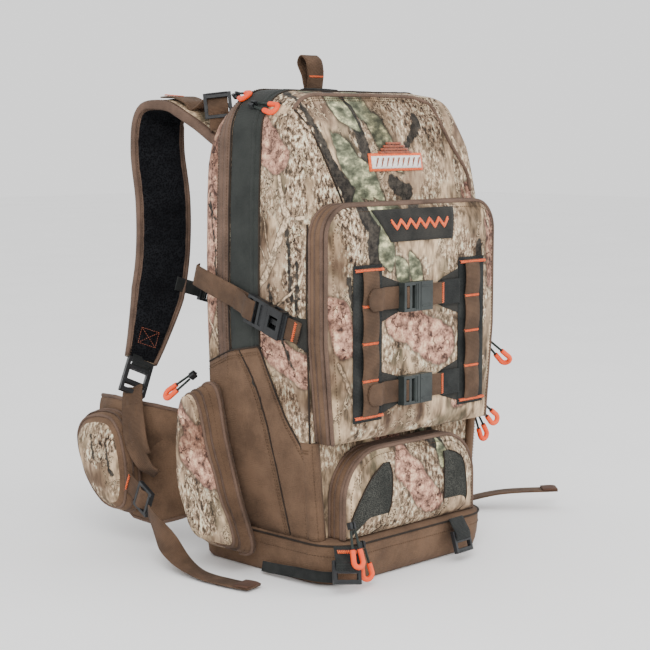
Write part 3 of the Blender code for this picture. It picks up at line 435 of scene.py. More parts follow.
def plastic_material(name, dark, light, rough):
    """Moulded plastic: fine spark texture, faint flow marks and scuffed gloss."""
    graph = Graph(name, roughness=rough, specular=0.35)
    flow = graph.noise(graph.place, 38.0, 3.0)
    grain = graph.noise(graph.place, 1300.0, 3.0, 0.7)
    graph.paint(graph.ramp(flow, (0.35, dark), (0.65, light)))
    scuff = graph.noise(graph.place, 120.0, 4.0, 0.7)
    graph.rough(graph.span(scuff, 0.35, 0.7, rough - 0.06, rough + 0.16))
    graph.bump((grain, 0.00006), (flow, 0.0002))


def thread_material(name, dark, light):
    """Packed embroidery thread."""
    graph = Graph(name, roughness=0.62, specular=0.4, sheen=0.2)
    tone = graph.noise(graph.place, 420.0, 4.0, 0.7)
    graph.paint(graph.ramp(tone, (0.34, dark), (0.6, light)))
    graph.rough(graph.span(tone, 0.3, 0.7, 0.72, 0.52))
    graph.bump((tone, 0.0003))


def make_materials():
    group = capsule_group()
    side = ((0.0, 1.0, 0.0), (0.0, 0.0, 1.0))
    front = ((1.0, 0.0, 0.0), (0.0, -1.0, 1.0))
    camo_material("camo_side", group, side, SIDE_LOGS, SIDE_TWIGS, SIDE_DARKS, (), SIDE_BARKS)
    camo_material("camo_front", group, front, FRONT_LOGS, FRONT_TWIGS, FRONT_DARKS, FRONT_LEAVES,
                  FRONT_BARKS)
    cloth_material("brown_cloth", dye(98, 76, 59), dye(126, 101, 80))
    cloth_material("binding", dye(92, 74, 63), dye(124, 102, 88), soft=0.0004)
    cloth_material("thread_tan", dye(74, 56, 42), dye(112, 88, 66), soft=0.0003)
    cloth_material("thread_dark", dye(40, 34, 30), dye(64, 54, 46), soft=0.0003)
    cloth_material("stretch", dye(46, 49, 47), dye(62, 65, 62), weave=1300.0, soft=0.0005)
    cloth_material("shade_cloth", dye(42, 42, 40), dye(66, 64, 60), soft=0.0005)
    webbing_material("brown_web", dye(80, 61, 47), dye(114, 89, 69))
    webbing_material("black_web", dye(30, 32, 32), dye(58, 60, 58))
    mesh_material("spacer", dye(14, 14, 16), dye(32, 33, 36), 520.0, 0.0003)
    mesh_material("net", dye(46, 48, 46), dye(84, 84, 79), 900.0, 0.0003)
    plastic_material("acetal", dye(24, 25, 27), dye(38, 40, 42), 0.42)
    plastic_material("acetal_green", dye(40, 46, 45), dye(56, 63, 61), 0.45)
    plastic_material("orange_grip", dye(228, 84, 26), dye(242, 108, 50), 0.48)
    plastic_material("sheet_plastic", dye(40, 40, 42), dye(58, 58, 60), 0.5)
    thread_material("orange_thread", dye(190, 80, 20), dye(234, 120, 44))
    thread_material("pale_thread", dye(196, 190, 178), dye(240, 236, 226))
    thread_material("rust_thread", dye(110, 54, 30), dye(168, 90, 48))
    cloth_material("cord_sheath", dye(36, 42, 40), dye(62, 68, 64), weave=1800.0, soft=0.0002)
    cloth_material("zip_coil", dye(78, 62, 52), dye(112, 92, 80), soft=0.0002)
    cloth_material("tail_end", dye(72, 52, 42), dye(104, 76, 62), soft=0.0003)


# ---------------------------------------------------------------- mesh helpers

def piece(name, bm, materials, body, nodes=(), smooth=True, bevel=0.0, merge=0.00002):
    """Turns a bmesh into a finished piece that rides on its body."""
    bmesh.ops.remove_doubles(bm, verts=bm.verts, dist=merge)
    bmesh.ops.recalc_face_normals(bm, faces=bm.faces)
    mesh = bpy.data.meshes.new(name)
    bm.to_mesh(mesh)
    bm.free()
    names = [materials] if isinstance(materials, str) else list(materials)
    for item in names:
        mesh.materials.append(MATERIALS[item])
    for polygon in mesh.polygons:
        polygon.use_smooth = smooth
    obj = bpy.data.objects.new(name, mesh)
    bpy.context.scene.collection.objects.link(obj)
    if bevel:
        edge = obj.modifiers.new("edge", "BEVEL")
        edge.width = bevel
        edge.segments = 3
        edge.limit_method = "ANGLE"
        edge.angle_limit = math.radians(35)
    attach(obj, body)
    if nodes:
        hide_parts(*nodes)
    return obj


def catmull(a, b, c, d, steps):
    """Points from b towards c on the smooth curve through four points, c left out."""
    points = []
    for step in range(steps):
        t = step / steps
        points.append(0.5 * ((2 * b) + (c - a) * t + (2 * a - 5 * b + 4 * c - d) * t * t
                             + (3 * b - a - 3 * c + d) * t ** 3))
    return points


def smooth_path(points, per_span=4):
    """Catmull-Rom curve through the points."""
    pts = [Vector(p) for p in points]
    pts = [pts[0] * 2 - pts[1]] + pts + [pts[-1] * 2 - pts[-2]]
    path = []
    for a, b, c, d in zip(pts, pts[1:], pts[2:], pts[3:]):
        path += catmull(a, b, c, d, per_span)
    return path + [pts[-2]]


def smooth_loop(points, per_span):
    """Closed Catmull-Rom curve through the points."""
    pts = [Vector(p) for p in points]
    count = len(pts)
    path = []
    for i in range(count):
        path += catmull(pts[i - 1], pts[i], pts[(i + 1) % count], pts[(i + 2) % count], per_span)
    return path


def resample(path, spacing):
    """Points a fixed distance apart along a polyline, both ends kept."""
    lengths = [0.0]
    for a, b in zip(path, path[1:]):
        lengths.append(lengths[-1] + (b - a).length)
    count = max(2, round(lengths[-1] / spacing))
    result = []
    index = 0
    for step in range(count + 1):
        target = lengths[-1] * step / count
        while index < len(path) - 2 and lengths[index + 1] < target:
            index += 1
        gap = lengths[index + 1] - lengths[index]
        share = 0.0 if gap == 0 else (target - lengths[index]) / gap
        result.append(path[index].lerp(path[index + 1], share))
    return result


def chord(path, i):
    """From the point before the i-th to the point after it, one-sided at the ends."""
    return path[min(i + 1, len(path) - 1)] - path[max(i - 1, 0)]


def frames(path, closed=False):
    """Two cross directions at each point, carried along without twist."""
    count = len(path)
    result = []
    across = None
    for i in range(count):
        step = path[(i + 1) % count] - path[i - 1] if closed else chord(path, i)
        tangent = step.normalized()
        if across is None:
            across = tangent.orthogonal()
        across = (across - tangent * tangent.dot(across)).normalized()
        result.append((across, tangent.cross(across)))
    return result


def add_loops(bm, rings, closed_along=False, index=0, caps=True):
    """Skins rings of points into bm and closes the two ends."""
    loops = [[bm.verts.new(p) for p in ring] for ring in rings]
    pairs = list(zip(loops, loops[1:]))
    if closed_along:
        pairs.append((loops[-1], loops[0]))
    for first, second in pairs:
        count = len(first)
        for i in range(count):
            j = (i + 1) % count
            face = bm.faces.new((first[i], first[j], second[j], second[i]))
            face.material_index = index
    if caps and not closed_along:
        for loop in (loops[0], loops[-1]):
            bm.faces.new(loop).material_index = index
    return loops


def fill_grid(bm, rows, index=0):
    """Faces between neighbouring rows of points."""
    for low, high in zip(rows, rows[1:]):
        for j in range(len(low) - 1):
            face = bm.faces.new((low[j], low[j + 1], high[j + 1], high[j]))
            face.material_index = index


def join_rims(bm, front, back, index=0):
    """Closes the gap round the edges of two grids."""
    rims = []
    for grid in (front, back):
        rim = [row[0] for row in grid] + grid[-1][1:] + [row[-1] for row in reversed(grid[:-1])]
        rims.append(rim + grid[0][-2:0:-1])
    first, second = rims
    for i in range(len(first)):
        j = (i + 1) % len(first)
        face = bm.faces.new((first[i], first[j], second[j], second[i]))
        face.material_index = index


def circle(centre, u, v, radius, sides):
    """Ring of points in the plane of the directions u and v."""
    turns = [math.tau * k / sides for k in range(sides)]
    return [centre + (u * math.cos(t) + v * math.sin(t)) * radius for t in turns]


def add_tube(bm, path, radius, sides=10, closed=False, index=0, ripple=0.0):
    """Round bar along a path. A ripple changes the radius of every other ring by that share."""
    rings = []
    for i, (point, (u, v)) in enumerate(zip(path, frames(path, closed))):
        rings.append(circle(point, u, v, radius * (1.0 + (ripple if i % 2 else 0.0)), sides))
    add_loops(bm, rings, closed_along=closed, index=index)


def tube(name, path, radius, material, body, sides=10):
    bm = bmesh.new()
    add_tube(bm, path, radius, sides)
    return piece(name, bm, material, body)


PROFILE = ((-1.0, -0.35), (-0.94, -1.0), (-0.5, -1.0), (0.0, -1.0), (0.5, -1.0), (0.94, -1.0), (1.0, -0.35),
           (1.0, 0.35), (0.94, 1.0), (0.5, 1.0), (0.0, 1.0), (-0.5, 1.0), (-0.94, 1.0), (-1.0, 0.35))


def add_ribbon(bm, path, across, width, thick):
    """Flat woven strap swept along a path, with its length and width kept for the weave."""
    layer = bm.loops.layers.uv.verify()
    rings = []
    places = []
    run = 0.0
    for i, point in enumerate(path):
        if i:
            run += (point - path[i - 1]).length
        tangent = chord(path, i).normalized()
        side = Vector(across[i] if isinstance(across, list) else across)
        side = (side - tangent * tangent.dot(side)).normalized()
        normal = tangent.cross(side)
        half = (width[i] if isinstance(width, list) else width) / 2
        rings.append([point + side * half * u + normal * (thick / 2 * v) for u, v in PROFILE])
        places.append(run)
    address = {}
    for place, loop in zip(places, add_loops(bm, rings)):
        for vert, (u, _) in zip(loop, PROFILE):
            address[vert] = (place, u * WEB / 2)
    for face in bm.faces:
        for corner in face.loops:
            corner[layer].uv = address[corner.vert]


def ribbon(name, path, across, width, material, body, nodes=(), thick=WEB_THICK):
    bm = bmesh.new()
    add_ribbon(bm, path, across, width, thick)
    return piece(name, bm, material, body, nodes)


def frame_matrix(origin, along, normal):
    """Local X runs along, local Z is the normal, local Y is across."""
    x = Vector(along).normalized()
    z = (Vector(normal) - x * x.dot(Vector(normal))).normalized()
    y = z.cross(x)
    matrix = Matrix((x, y, z)).transposed().to_4x4()
    matrix.translation = Vector(origin)
    return matrix


def across_of(place):
    """The direction across a buckle: its local Y."""
    return place.to_3x3() @ Vector((0.0, 1.0, 0.0))


def threaded(place, points, per_span=5):
    """Smooth path through (along, height) points in a buckle's own frame."""
    return smooth_path([place @ Vector((x, 0.0, z)) for x, z in points], per_span)


def add_bartack(bm, place, length, width, height=0.0009):
    """Dense zigzag stitching: a row of raised threads lying across the tack. Local X is its length."""
    threads = max(6, round(length / 0.0011))
    section = ((-0.5, -0.0002), (-0.42, height * 0.6), (-0.2, height), (0.2, height),
               (0.42, height * 0.6), (0.5, -0.0002))
    for n in range(threads):
        x = -length / 2 + length * (n + 0.5) / threads
        skew = 0.0005 if n % 2 else -0.0005
        path = [place @ Vector((x + skew * y * 2, y * width, z)) for y, z in section]
        add_tube(bm, path, 0.00042, 6)


def bartack(name, place, length, body, width):
    bm = bmesh.new()
    add_bartack(bm, place, length, width)
    return piece(name, bm, "orange_thread", body)


def add_stitches(bm, path, normals, pitch=0.0036, index=0):
    """Topstitching: short raised dashes along a path. normals are one direction or one for each point."""
    rise, sink = 0.00022, 0.0003
    last = len(path) - 1
    dense = resample(path, pitch / 2)
    for n in range(0, len(dense) - 1, 2):
        a, b = dense[n], dense[n + 1]
        nearest = min(last, round(n / max(1, len(dense) - 1) * last))
        up = Vector(normals[nearest] if isinstance(normals, list) else normals)
        line = [a - up * sink, a.lerp(b, 0.2) + up * rise, a.lerp(b, 0.8) + up * rise, b - up * sink]
        add_tube(bm, line, 0.00034, 5, index=index)


def box_cells(bm, add, cut, matrix):
    """Closed solid made of boxes (x0, x1, y0, y1, z0, z1) less other boxes, placed by a matrix."""
    boxes = list(add) + list(cut)
    cuts = [sorted({round(b[2 * axis + side], 6) for b in boxes for side in (0, 1)}) for axis in range(3)]

    def inside(box, centre):
        return all(box[2 * a] < centre[a] < box[2 * a + 1] for a in range(3))

    solid = set()
    for i in range(len(cuts[0]) - 1):
        for j in range(len(cuts[1]) - 1):
            for k in range(len(cuts[2]) - 1):
                centre = [(cuts[a][n] + cuts[a][n + 1]) / 2 for a, n in enumerate((i, j, k))]
                if any(inside(b, centre) for b in add) and not any(inside(b, centre) for b in cut):
                    solid.add((i, j, k))
    verts = {}

    def corner(i, j, k):
        if (i, j, k) not in verts:
            verts[i, j, k] = bm.verts.new(matrix @ Vector((cuts[0][i], cuts[1][j], cuts[2][k])))
        return verts[i, j, k]

    sides = {
        (-1, 0, 0): ((0, 0, 0), (0, 0, 1), (0, 1, 1), (0, 1, 0)),
        (1, 0, 0): ((1, 0, 0), (1, 1, 0), (1, 1, 1), (1, 0, 1)),
        (0, -1, 0): ((0, 0, 0), (1, 0, 0), (1, 0, 1), (0, 0, 1)),
        (0, 1, 0): ((0, 1, 0), (0, 1, 1), (1, 1, 1), (1, 1, 0)),
        (0, 0, -1): ((0, 0, 0), (0, 1, 0), (1, 1, 0), (1, 0, 0)),
        (0, 0, 1): ((0, 0, 1), (1, 0, 1), (1, 1, 1), (0, 1, 1)),
    }
    for i, j, k in solid:
        for (di, dj, dk), quad in sides.items():
            if (i + di, j + dj, k + dk) not in solid:
                bm.faces.new([corner(i + a, j + b, k + c) for a, b, c in quad])
    return bm


def moulded(name, add, cut, matrix, body, nodes=(), material="acetal", bevel=0.0008):
    """Moulded plastic made of boxes, with rounded edges."""
    bm = box_cells(bmesh.new(), add, cut, matrix)
    bmesh.ops.dissolve_limit(bm, angle_limit=math.radians(1), verts=bm.verts, edges=bm.edges)
    return piece(name, bm, material, body, nodes, smooth=False, bevel=bevel)


def mirrored(point, side):
    return Vector((point[0] * side, point[1], point[2]))


def interpolate(table, value):
    points = sorted(table)
    if value <= points[0][0]:
        return points[0][1]
    for (x0, y0), (x1, y1) in zip(points, points[1:]):
        if value <= x1:
            return y0 + (y1 - y0) * (value - x0) / (x1 - x0)
    return points[-1][1]


def ruffle(point, scale, amount):
    """Small repeatable wrinkle height."""
    p = Vector(point) * scale
    return amount * (noise.noise(p) + 0.5 * noise.noise(p * 2.3))


# ---------------------------------------------------------------- zip pulls: the free cords

CORD = 0.0028
GRIP_PART = slice(3, 16)
PULLS = {
    "side_pocket": ((-0.17, 0.088, 0.219), (-0.3, 0.75, -0.62), (0.55, 0.4, 0.75)),
    "front_pocket": ((0.1545, -0.09, 0.246), (0.72, -0.2, -0.66), (0.3, -0.8, 0.5)),
    "lower_pocket": ((-0.1195, -0.125, 0.067), (-0.1, -0.35, -1.0), (0.9, -0.2, 0.0)),
}


def loop_route(start, along, side, length, half):
    """A cord loop that leaves its slider, turns round and comes back beside itself."""
    x = Vector(along).normalized()
    y = (Vector(side) - x * x.dot(Vector(side))).normalized()
    origin = Vector(start)
    straight = length - half
    shares = (0.0, 0.2, 0.4, 0.6, 0.8, 1.0)

    def place(run, off):
        return origin + x * run + y * off

    points = [place(straight * s, half * (0.5 + 0.5 * s)) for s in shares]
    for step in range(1, 8):
        angle = math.pi * step / 8
        points.append(place(straight + half * math.sin(angle), half * math.cos(angle)))
    points += [place(straight * s, -half * (0.5 + 0.5 * s)) for s in reversed(shares)]
    return points


def cord_curve(name, points, body, nodes=()):
    data = bpy.data.curves.new(name, "CURVE")
    data.dimensions = "3D"
    data.bevel_depth = CORD / 2
    data.bevel_resolution = 3
    data.use_fill_caps = True
    spline = data.splines.new("POLY")
    spline.points.add(len(points) - 1)
    for target, point in zip(spline.points, points):
        target.co = (*point, 1.0)
    data.materials.append(MATERIALS["cord_sheath"])
    obj = bpy.data.objects.new(name, data)
    bpy.context.scene.collection.objects.link(obj)
    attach(obj, body)
    if nodes:
        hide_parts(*nodes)
    length = sum((b - a).length for a, b in zip(points, points[1:]))
    return obj, length


def sleeve(name, points, body, nodes=()):
    """Moulded grip over the far end of a loop, with a rounded lip at each end."""
    path = resample(smooth_path(points, 4), 0.0012)
    sides = 12
    rings, bore = [], []
    for i, (point, (u, v)) in enumerate(zip(path, frames(path))):
        end = min(i, len(path) - 1 - i)
        radius = 0.0031 if end > 1 else (0.0027 if end == 0 else 0.003)
        rings.append(circle(point, u, v, radius, sides))
        bore.append(circle(point, u, v, 0.0018, sides))
    bm = bmesh.new()
    outer = add_loops(bm, rings, caps=False)
    inner = add_loops(bm, bore, caps=False)
    for a, b in ((outer[0], inner[0]), (outer[-1], inner[-1])):
        for k in range(sides):
            j = (k + 1) % sides
            bm.faces.new((a[k], a[j], b[j], b[k]))
    return piece(name, bm, "orange_grip", body, nodes)


def slider(name, place, body, nodes=()):
    """Zip slider: body, bridge and the throat that the coil runs through."""
    return moulded(name, [(-0.0095, -0.0017, -0.0035, 0.0035, -0.0045, -0.0012),
                          (-0.0095, -0.0017, -0.0035, 0.0035, 0.0004, 0.0026),
                          (-0.007, -0.0042, -0.0016, 0.0016, -0.0012, 0.0004),
                          (-0.0086, -0.0026, -0.0012, 0.0012, 0.0026, 0.0045)],
                   [(-0.0074, -0.0038, -0.002, 0.002, 0.0026, 0.0036)], place, body, nodes, bevel=0.0005)


def hang_pull(word, body, start, along, side, reach, half, nodes=()):
    """Slider, cord loop and grip. nodes are the solids that the cord, grip and slider replace."""
    route = loop_route(start, along, side, reach, half)
    cord, length = cord_curve("cord_" + word, route, body, nodes[0:1])
    grip = sleeve("grip_" + word, route[GRIP_PART], body, nodes[1:2])
    slide = slider("slide_" + word, frame_matrix(start, along, side), body, nodes[2:3])


def make_pulls():
    for word, (start, along, side) in PULLS.items():
        hang_pull(word, "pull_" + word, start, along, side, 0.04, 0.0058,
                  ["pull_cord_" + word, "pull_sleeve_" + word, "zip_slider_" + word])


EXTRA_PULLS = {
    "top_rear": ((-0.108, 0.07, 0.542), (-0.42, -0.9, -0.06), (0.72, -0.35, 0.6)),
    "top_front": ((-0.133, 0.012, 0.53), (-0.04, -1.0, -0.16), (0.7, -0.1, 0.7)),
    "front_pocket_low": ((0.148, -0.086, 0.169), (0.66, -0.1, -0.62), (0.6, -0.1, 0.7)),
    "lower_pocket_low": ((0.146, -0.08, 0.156), (0.42, -0.05, -0.86), (0.86, 0.0, 0.42)),
    "lash_spare": ((-0.103, -0.124, 0.043), (0.1, -0.16, -1.0), (0.9, -0.25, 0.1)),
}


def make_extra_pulls():
    for word, (start, along, side) in EXTRA_PULLS.items():
        hang_pull(word, "pack", start, along, side, 0.034, 0.006)


# ---------------------------------------------------------------- the body's skin

TAPER_Z = ((0.0, -0.019), (0.047, -0.015), (0.15, -0.005), (0.3, 0.0), (0.42, -0.001), (0.55, -0.008))
SIDE_Y = ((0.104, 0.13), (0.085, 0.141), (0.045, 0.146), (-0.005, 0.147), (-0.045, 0.146), (-0.078, 0.144))
Y_PIPING = -0.06
Y_FRONT = -0.078
Z_PIPING = 0.514
POCKET_TOP = 0.42
PUFF_Z = ((0.0, 0.1), (0.2, 0.3), (0.3, 1.0), (0.5, 1.0), (0.56, 0.8))
SIDE_STEPS = 34
CORNER_STEPS = 10
TOP_STEPS = 12


def half_width(y, z):
    return interpolate(SIDE_Y, y) + interpolate(TAPER_Z, z)


def puff(y, z):
    """How far the padded cloth stands out between its seams."""
    share = interpolate(PUFF_Z, z)
    if y > 0.0454:
        return share * 0.0026 * math.sin(math.pi * min(1.0, (y - 0.0454) / 0.052)) - 0.0002
    if y > -0.005:
        return share * 0.0008 * math.sin(math.pi * (y + 0.005) / 0.0504) - 0.0004
    return share * 0.0026 * math.sin(math.pi * min(1.0, (-0.005 - y) / 0.073)) - 0.0002


def lean(z):
    share = max(0.0, (z - POCKET_TOP) / (Z_PIPING - POCKET_TOP))
    return Y_FRONT + (Y_PIPING - Y_FRONT) * min(share, 1.0)


def plain_ring(y, top, radius, inset=0.0, leaning=False):
    """Cross-section from the right foot, over the top, to the left foot."""
    side = []
    start = top - radius
    for step in range(SIDE_STEPS):
        z = 0.006 + inset + (start - 0.006 - inset) * step / SIDE_STEPS
        side.append((half_width(y, z) - inset, z))
    edge = half_width(y, start) - inset
    for step in range(CORNER_STEPS + 1):
        angle = math.radians(90 * step / CORNER_STEPS)
        side.append((edge - radius * (1 - math.cos(angle)), start - inset + radius * math.sin(angle)))
    x_end, z_end = side[-1]
    for step in range(1, TOP_STEPS):
        side.append((x_end * (1 - step / TOP_STEPS), z_end))
    right = [Vector((x, lean(z) if leaning else y, z)) for x, z in side]
    left = [Vector((-p.x, p.y, p.z)) for p in reversed(right)]
    return right + [Vector((0.0, right[-1].y, z_end))] + left


KEY_RINGS = (
    (0.104, plain_ring(0.104, 0.516, 0.072, 0.006)), (0.098, plain_ring(0.098, 0.526, 0.075)),
    (0.085, plain_ring(0.085, 0.536, 0.075)), (0.045, plain_ring(0.045, 0.548, 0.052)),
    (-0.005, plain_ring(-0.005, 0.546, 0.047)), (-0.045, plain_ring(-0.045, 0.538, 0.045)),
    (Y_FRONT, plain_ring(Y_FRONT, Z_PIPING, 0.045, leaning=True)),
)
RING_COUNT = len(KEY_RINGS[0][1])


def skin_ring(y, lift=0.0):
    """The skin's cross-section at depth y with its padding, and the outward directions."""
    if y >= KEY_RINGS[0][0]:
        points = [p.copy() for p in KEY_RINGS[0][1]]
    else:
        points = [p.copy() for p in KEY_RINGS[-1][1]]
        for (y0, ring0), (y1, ring1) in zip(KEY_RINGS, KEY_RINGS[1:]):
            if y0 >= y >= y1:
                share = (y0 - y) / (y0 - y1)
                points = [a.lerp(b, share) for a, b in zip(ring0, ring1)]
                break
    normals = []
    for i in range(len(points)):
        ahead = chord(points, i)
        normals.append(Vector((ahead.z, 0.0, -ahead.x)).normalized())
    result = []
    for point, normal in zip(points, normals):
        amount = puff(y, point.z) + lift + ruffle((point.x, y, point.z * 0.5), 24.0, 0.0007)
        result.append(point + normal * amount)
    return result, normals


def side_point(side, y, z, lift=0.0):
    """A point on the flank, on the padded skin."""
    x = half_width(y, z) + puff(y, z) + lift + ruffle((side, y, z * 0.5), 24.0, 0.0005)
    return Vector((side * x, y, z))


def face_y(x, z, lift=0.0):
    """Depth of the front face, with its padding above the pocket."""
    y = lean(z)
    above = (z - POCKET_TOP) / (Z_PIPING - POCKET_TOP)
    if 0.0 < above < 1.0:
        y -= 0.004 * math.sin(math.pi * above) * max(0.0, 1 - (x / 0.15) ** 2)
        y -= ruffle((x, 0.0, z), 30.0, 0.0008) * math.sin(math.pi * above)
    if z < 0.16:
        y -= 0.0008 * math.sin(math.pi * z / 0.16)
    return y - lift


def fill_rows(bm, loop, depth, index):
    """Closes a symmetric skin ring by rows across it."""
    columns = 2 * TOP_STEPS
    last = SIDE_STEPS + CORNER_STEPS
    rows = []
    for i in range(last):
        right, left = loop[i], loop[-1 - i]
        row = [right]
        for j in range(1, columns):
            point = right.co.lerp(left.co, j / columns)
            row.append(bm.verts.new((point.x, depth(point.x, point.z), point.z)))
        rows.append(row + [left])
    rows.append(loop[last:len(loop) - last])
    fill_grid(bm, rows, index)


def spread(low, high, steps):
    return [low + (high - low) * i / steps for i in range(steps + 1)]


def make_skin():
    bm = bmesh.new()
    depths = [0.104, 0.101, 0.098] + spread(0.0945, 0.0454, 14)
    rings = [skin_ring(y)[0] for y in depths]
    loops = add_loops(bm, rings, caps=False)
    fill_rows(bm, loops[0], lambda x, z: 0.104, 0)
    bm.faces.new(loops[-1])
    piece("rear_section", bm, "camo_side", "pack", ["main_shell"])

    bm = bmesh.new()
    rings = [skin_ring(y, -0.001 if y in (0.0452, -0.0052) else 0.0)[0]
             for y in [0.0452] + spread(0.0425, -0.0025, 8) + [-0.0052]]
    add_loops(bm, rings)
    piece("stretch_gusset", bm, "stretch", "pack", ["gusset_band"])

    bm = bmesh.new()
    rings = [skin_ring(y)[0] for y in spread(-0.0054, Y_FRONT, 18)]
    loops = add_loops(bm, rings, caps=False)
    fill_rows(bm, loops[-1], face_y, 1)
    bm.faces.new(loops[0])
    bm.normal_update()
    for face in bm.faces:
        face.material_index = 0 if abs(face.normal.x) > 0.72 else 1
    piece("front_section", bm, ["camo_side", "camo_front"], "pack", ["front_shell"])


def skin_strip(name, profile, material, first=0, last=RING_COUNT):
    """A strip laid round the skin. profile is (depth, lift) across it."""
    columns = []
    for y, lift in profile:
        points, normals = skin_ring(y)
        columns.append([(p + n * lift, p - n * 0.0012) for p, n in zip(points, normals)])
    rings = []
    for i in range(first, last):
        rings.append([column[i][0] for column in columns] + [column[i][1] for column in reversed(columns)])
    bm = bmesh.new()
    add_loops(bm, rings)
    return piece(name, bm, material, "pack")


def ring_line(y, lift, first=0, last=RING_COUNT):
    """A line round the skin at depth y, and the outward directions along it."""
    points, normals = skin_ring(y)
    return [p + n * lift for p, n in zip(points, normals)][first:last], normals[first:last]


def top_point(x, y, lift):
    """A point on the crown, over the padded skin."""
    points, normals = skin_ring(y)
    for a, b, normal in zip(points, points[1:], normals):
        if a.z > 0.4 and a.x >= x > b.x:
            return a.lerp(b, (a.x - x) / (a.x - b.x)) + normal * lift
    return points[RING_COUNT // 2] + normals[RING_COUNT // 2] * lift


def make_skin_trim():
    skin_strip("main_zip_band", ((0.0462, -0.0002), (0.0475, 0.0015), (0.053, 0.0019), (0.0552, 0.0017),
                                 (0.0558, 0.0007), (0.0564, 0.0017), (0.059, 0.0019), (0.0655, 0.0016),
                                 (0.0668, -0.0002)), "binding")
    bm = bmesh.new()
    for y in (0.049, 0.064):
        line, normals = ring_line(y, 0.0018, 8, RING_COUNT - 8)
        add_stitches(bm, line, normals)
    piece("main_zip_stitches", bm, "thread_tan", "pack")
    for word, y in (("rear", 0.0456), ("front", -0.0053)):
        tube("band_seam_" + word, resample(ring_line(y, 0.0004)[0], 0.004), 0.0011, "thread_dark", "pack")
    # zip inside the stretch gusset, nearly hidden between its two lips
    skin_strip("gusset_lip", ((0.003, -0.0002), (0.005, 0.001), (0.0085, 0.0012), (0.01, -0.0002)),
               "stretch", 6, RING_COUNT - 6)

    # dark seam up each front corner
    points = skin_ring(Y_FRONT)[0]
    low = SIDE_STEPS - 4
    for word, chosen in (("right", points[:low]), ("left", points[RING_COUNT - low:])):
        tube("corner_seam_" + word, resample(chosen, 0.004), 0.0012, "thread_dark", "pack")
    # piping over the crown, which runs on down the right of the face
    on_face = ((0.133, 0.43), (0.128, 0.455), (0.107, 0.485), (0.098, 0.503))
    route = [Vector((x, face_y(x, z, 0.0008), z)) for x, z in on_face]
    route += [top_point(x, y, 0.001) for x, y in ((0.089, -0.059), (0.078, -0.052), (0.064, -0.0465))]
    route += [top_point(x, -0.045, 0.001) for x in spread(0.048, -0.12, 14)]
    route.append(top_point(-0.131, -0.046, 0.001))
    tube("crown_piping", resample(smooth_path(route, 6), 0.003), 0.0021, "binding", "pack", 12)
    # dark seam from the crown down the left of the face: a real seam, drawn dark to stand also for the
    # painted shade in its fold
    on_face = ((-0.118, 0.494), (-0.101, 0.452), (-0.086, 0.418))
    seam = [top_point(-0.131, -0.047, 0.0004), top_point(-0.128, -0.058, 0.0004)]
    seam += [Vector((x, face_y(x, z, 0.0004), z)) for x, z in on_face]
    tube("face_seam_and_shade_left", resample(smooth_path(seam, 6), 0.003), 0.0011, "thread_dark", "pack")
    bm = bmesh.new()
    for back in (0.005, 0.0085):
        line = [top_point(x, -0.045 - back, 0.0008) for x in spread(0.06, -0.118, 40)]
        add_stitches(bm, line, Vector((0.0, -0.3, 1.0)).normalized())
    piece("crown_stitches", bm, "thread_tan", "pack")


# ---------------------------------------------------------------- base, back and flank panels

CORNERS = ((1, -1, -90), (1, 1, 0), (-1, 1, 90), (-1, -1, 180))


def plan_ring(half, y_front, y_back, front_radius, back_radius, z):
    """Rounded rectangle seen from above."""
    steps = 8
    ring = []
    for sx, sy, start in CORNERS:
        radius = back_radius if sy > 0 else front_radius
        x = sx * (half - radius)
        y = (y_back - radius) if sy > 0 else (y_front + radius)
        for step in range(steps + 1):
            angle = math.radians(start + 90 * step / steps)
            ring.append(Vector((x + radius * math.cos(angle), y + radius * math.sin(angle), z)))
    return ring


def dense_ring(ring, spacing):
    """Equal steps round a closed outline."""
    return resample(ring + [ring[0]], spacing)[:-1]


def make_base():
    """Tough brown tray that sags a little between its seams."""
    table = ((0.0, 0.129, -0.099, 0.107, 0.034, 0.022), (0.0006, 0.132, -0.103, 0.11, 0.036, 0.023),
             (0.0045, 0.1338, -0.107, 0.112, 0.038, 0.024), (0.012, 0.1348, -0.11, 0.113, 0.04, 0.024),
             (0.022, 0.1362, -0.1125, 0.1135, 0.042, 0.024), (0.034, 0.1372, -0.1145, 0.1135, 0.044, 0.024),
             (0.043, 0.1372, -0.1158, 0.113, 0.045, 0.024), (0.046, 0.1366, -0.1158, 0.1125, 0.045, 0.024),
             (0.048, 0.1345, -0.1125, 0.1105, 0.044, 0.023), (0.0495, 0.13, -0.1, 0.106, 0.04, 0.022),
             (0.05, 0.124, -0.076, 0.1, 0.03, 0.02), (0.044, 0.122, -0.074, 0.098, 0.03, 0.02))
    around = 160

    def outward(point):
        return Vector((point.x, point.y, 0.0)).normalized()

    rings = []
    for z, half, y0, y1, r0, r1 in table:
        corners = plan_ring(half, y0, y1, r0, r1, z)
        outline = []
        for a, b in zip(corners, corners[1:] + corners[:1]):
            steps = max(1, min(10, round((b - a).length / 0.02)))
            outline += [a.lerp(b, s / steps) for s in range(steps)]
        length = sum((b - a).length for a, b in zip(outline, outline[1:] + outline[:1]))
        ring = resample(outline + [outline[0]], length / around)[:around]
        if 0.004 < z < 0.045:
            for point in ring:
                point += outward(point) * ruffle(point, 26.0, 0.0012)
        rings.append(ring)
    bm = bmesh.new()
    add_loops(bm, rings)
    piece("base_tray", bm, "brown_cloth", "pack", ["base_panel"])
    bm = bmesh.new()
    add_tube(bm, [p + outward(p) * 0.0004 for p in rings[7]], 0.0012, 8, closed=True)
    low = [p + outward(p) * 0.0003 for p in rings[5]]
    add_stitches(bm, low, [outward(p) for p in low], index=1)
    piece("base_rim", bm, ["thread_dark", "thread_tan"], "pack")


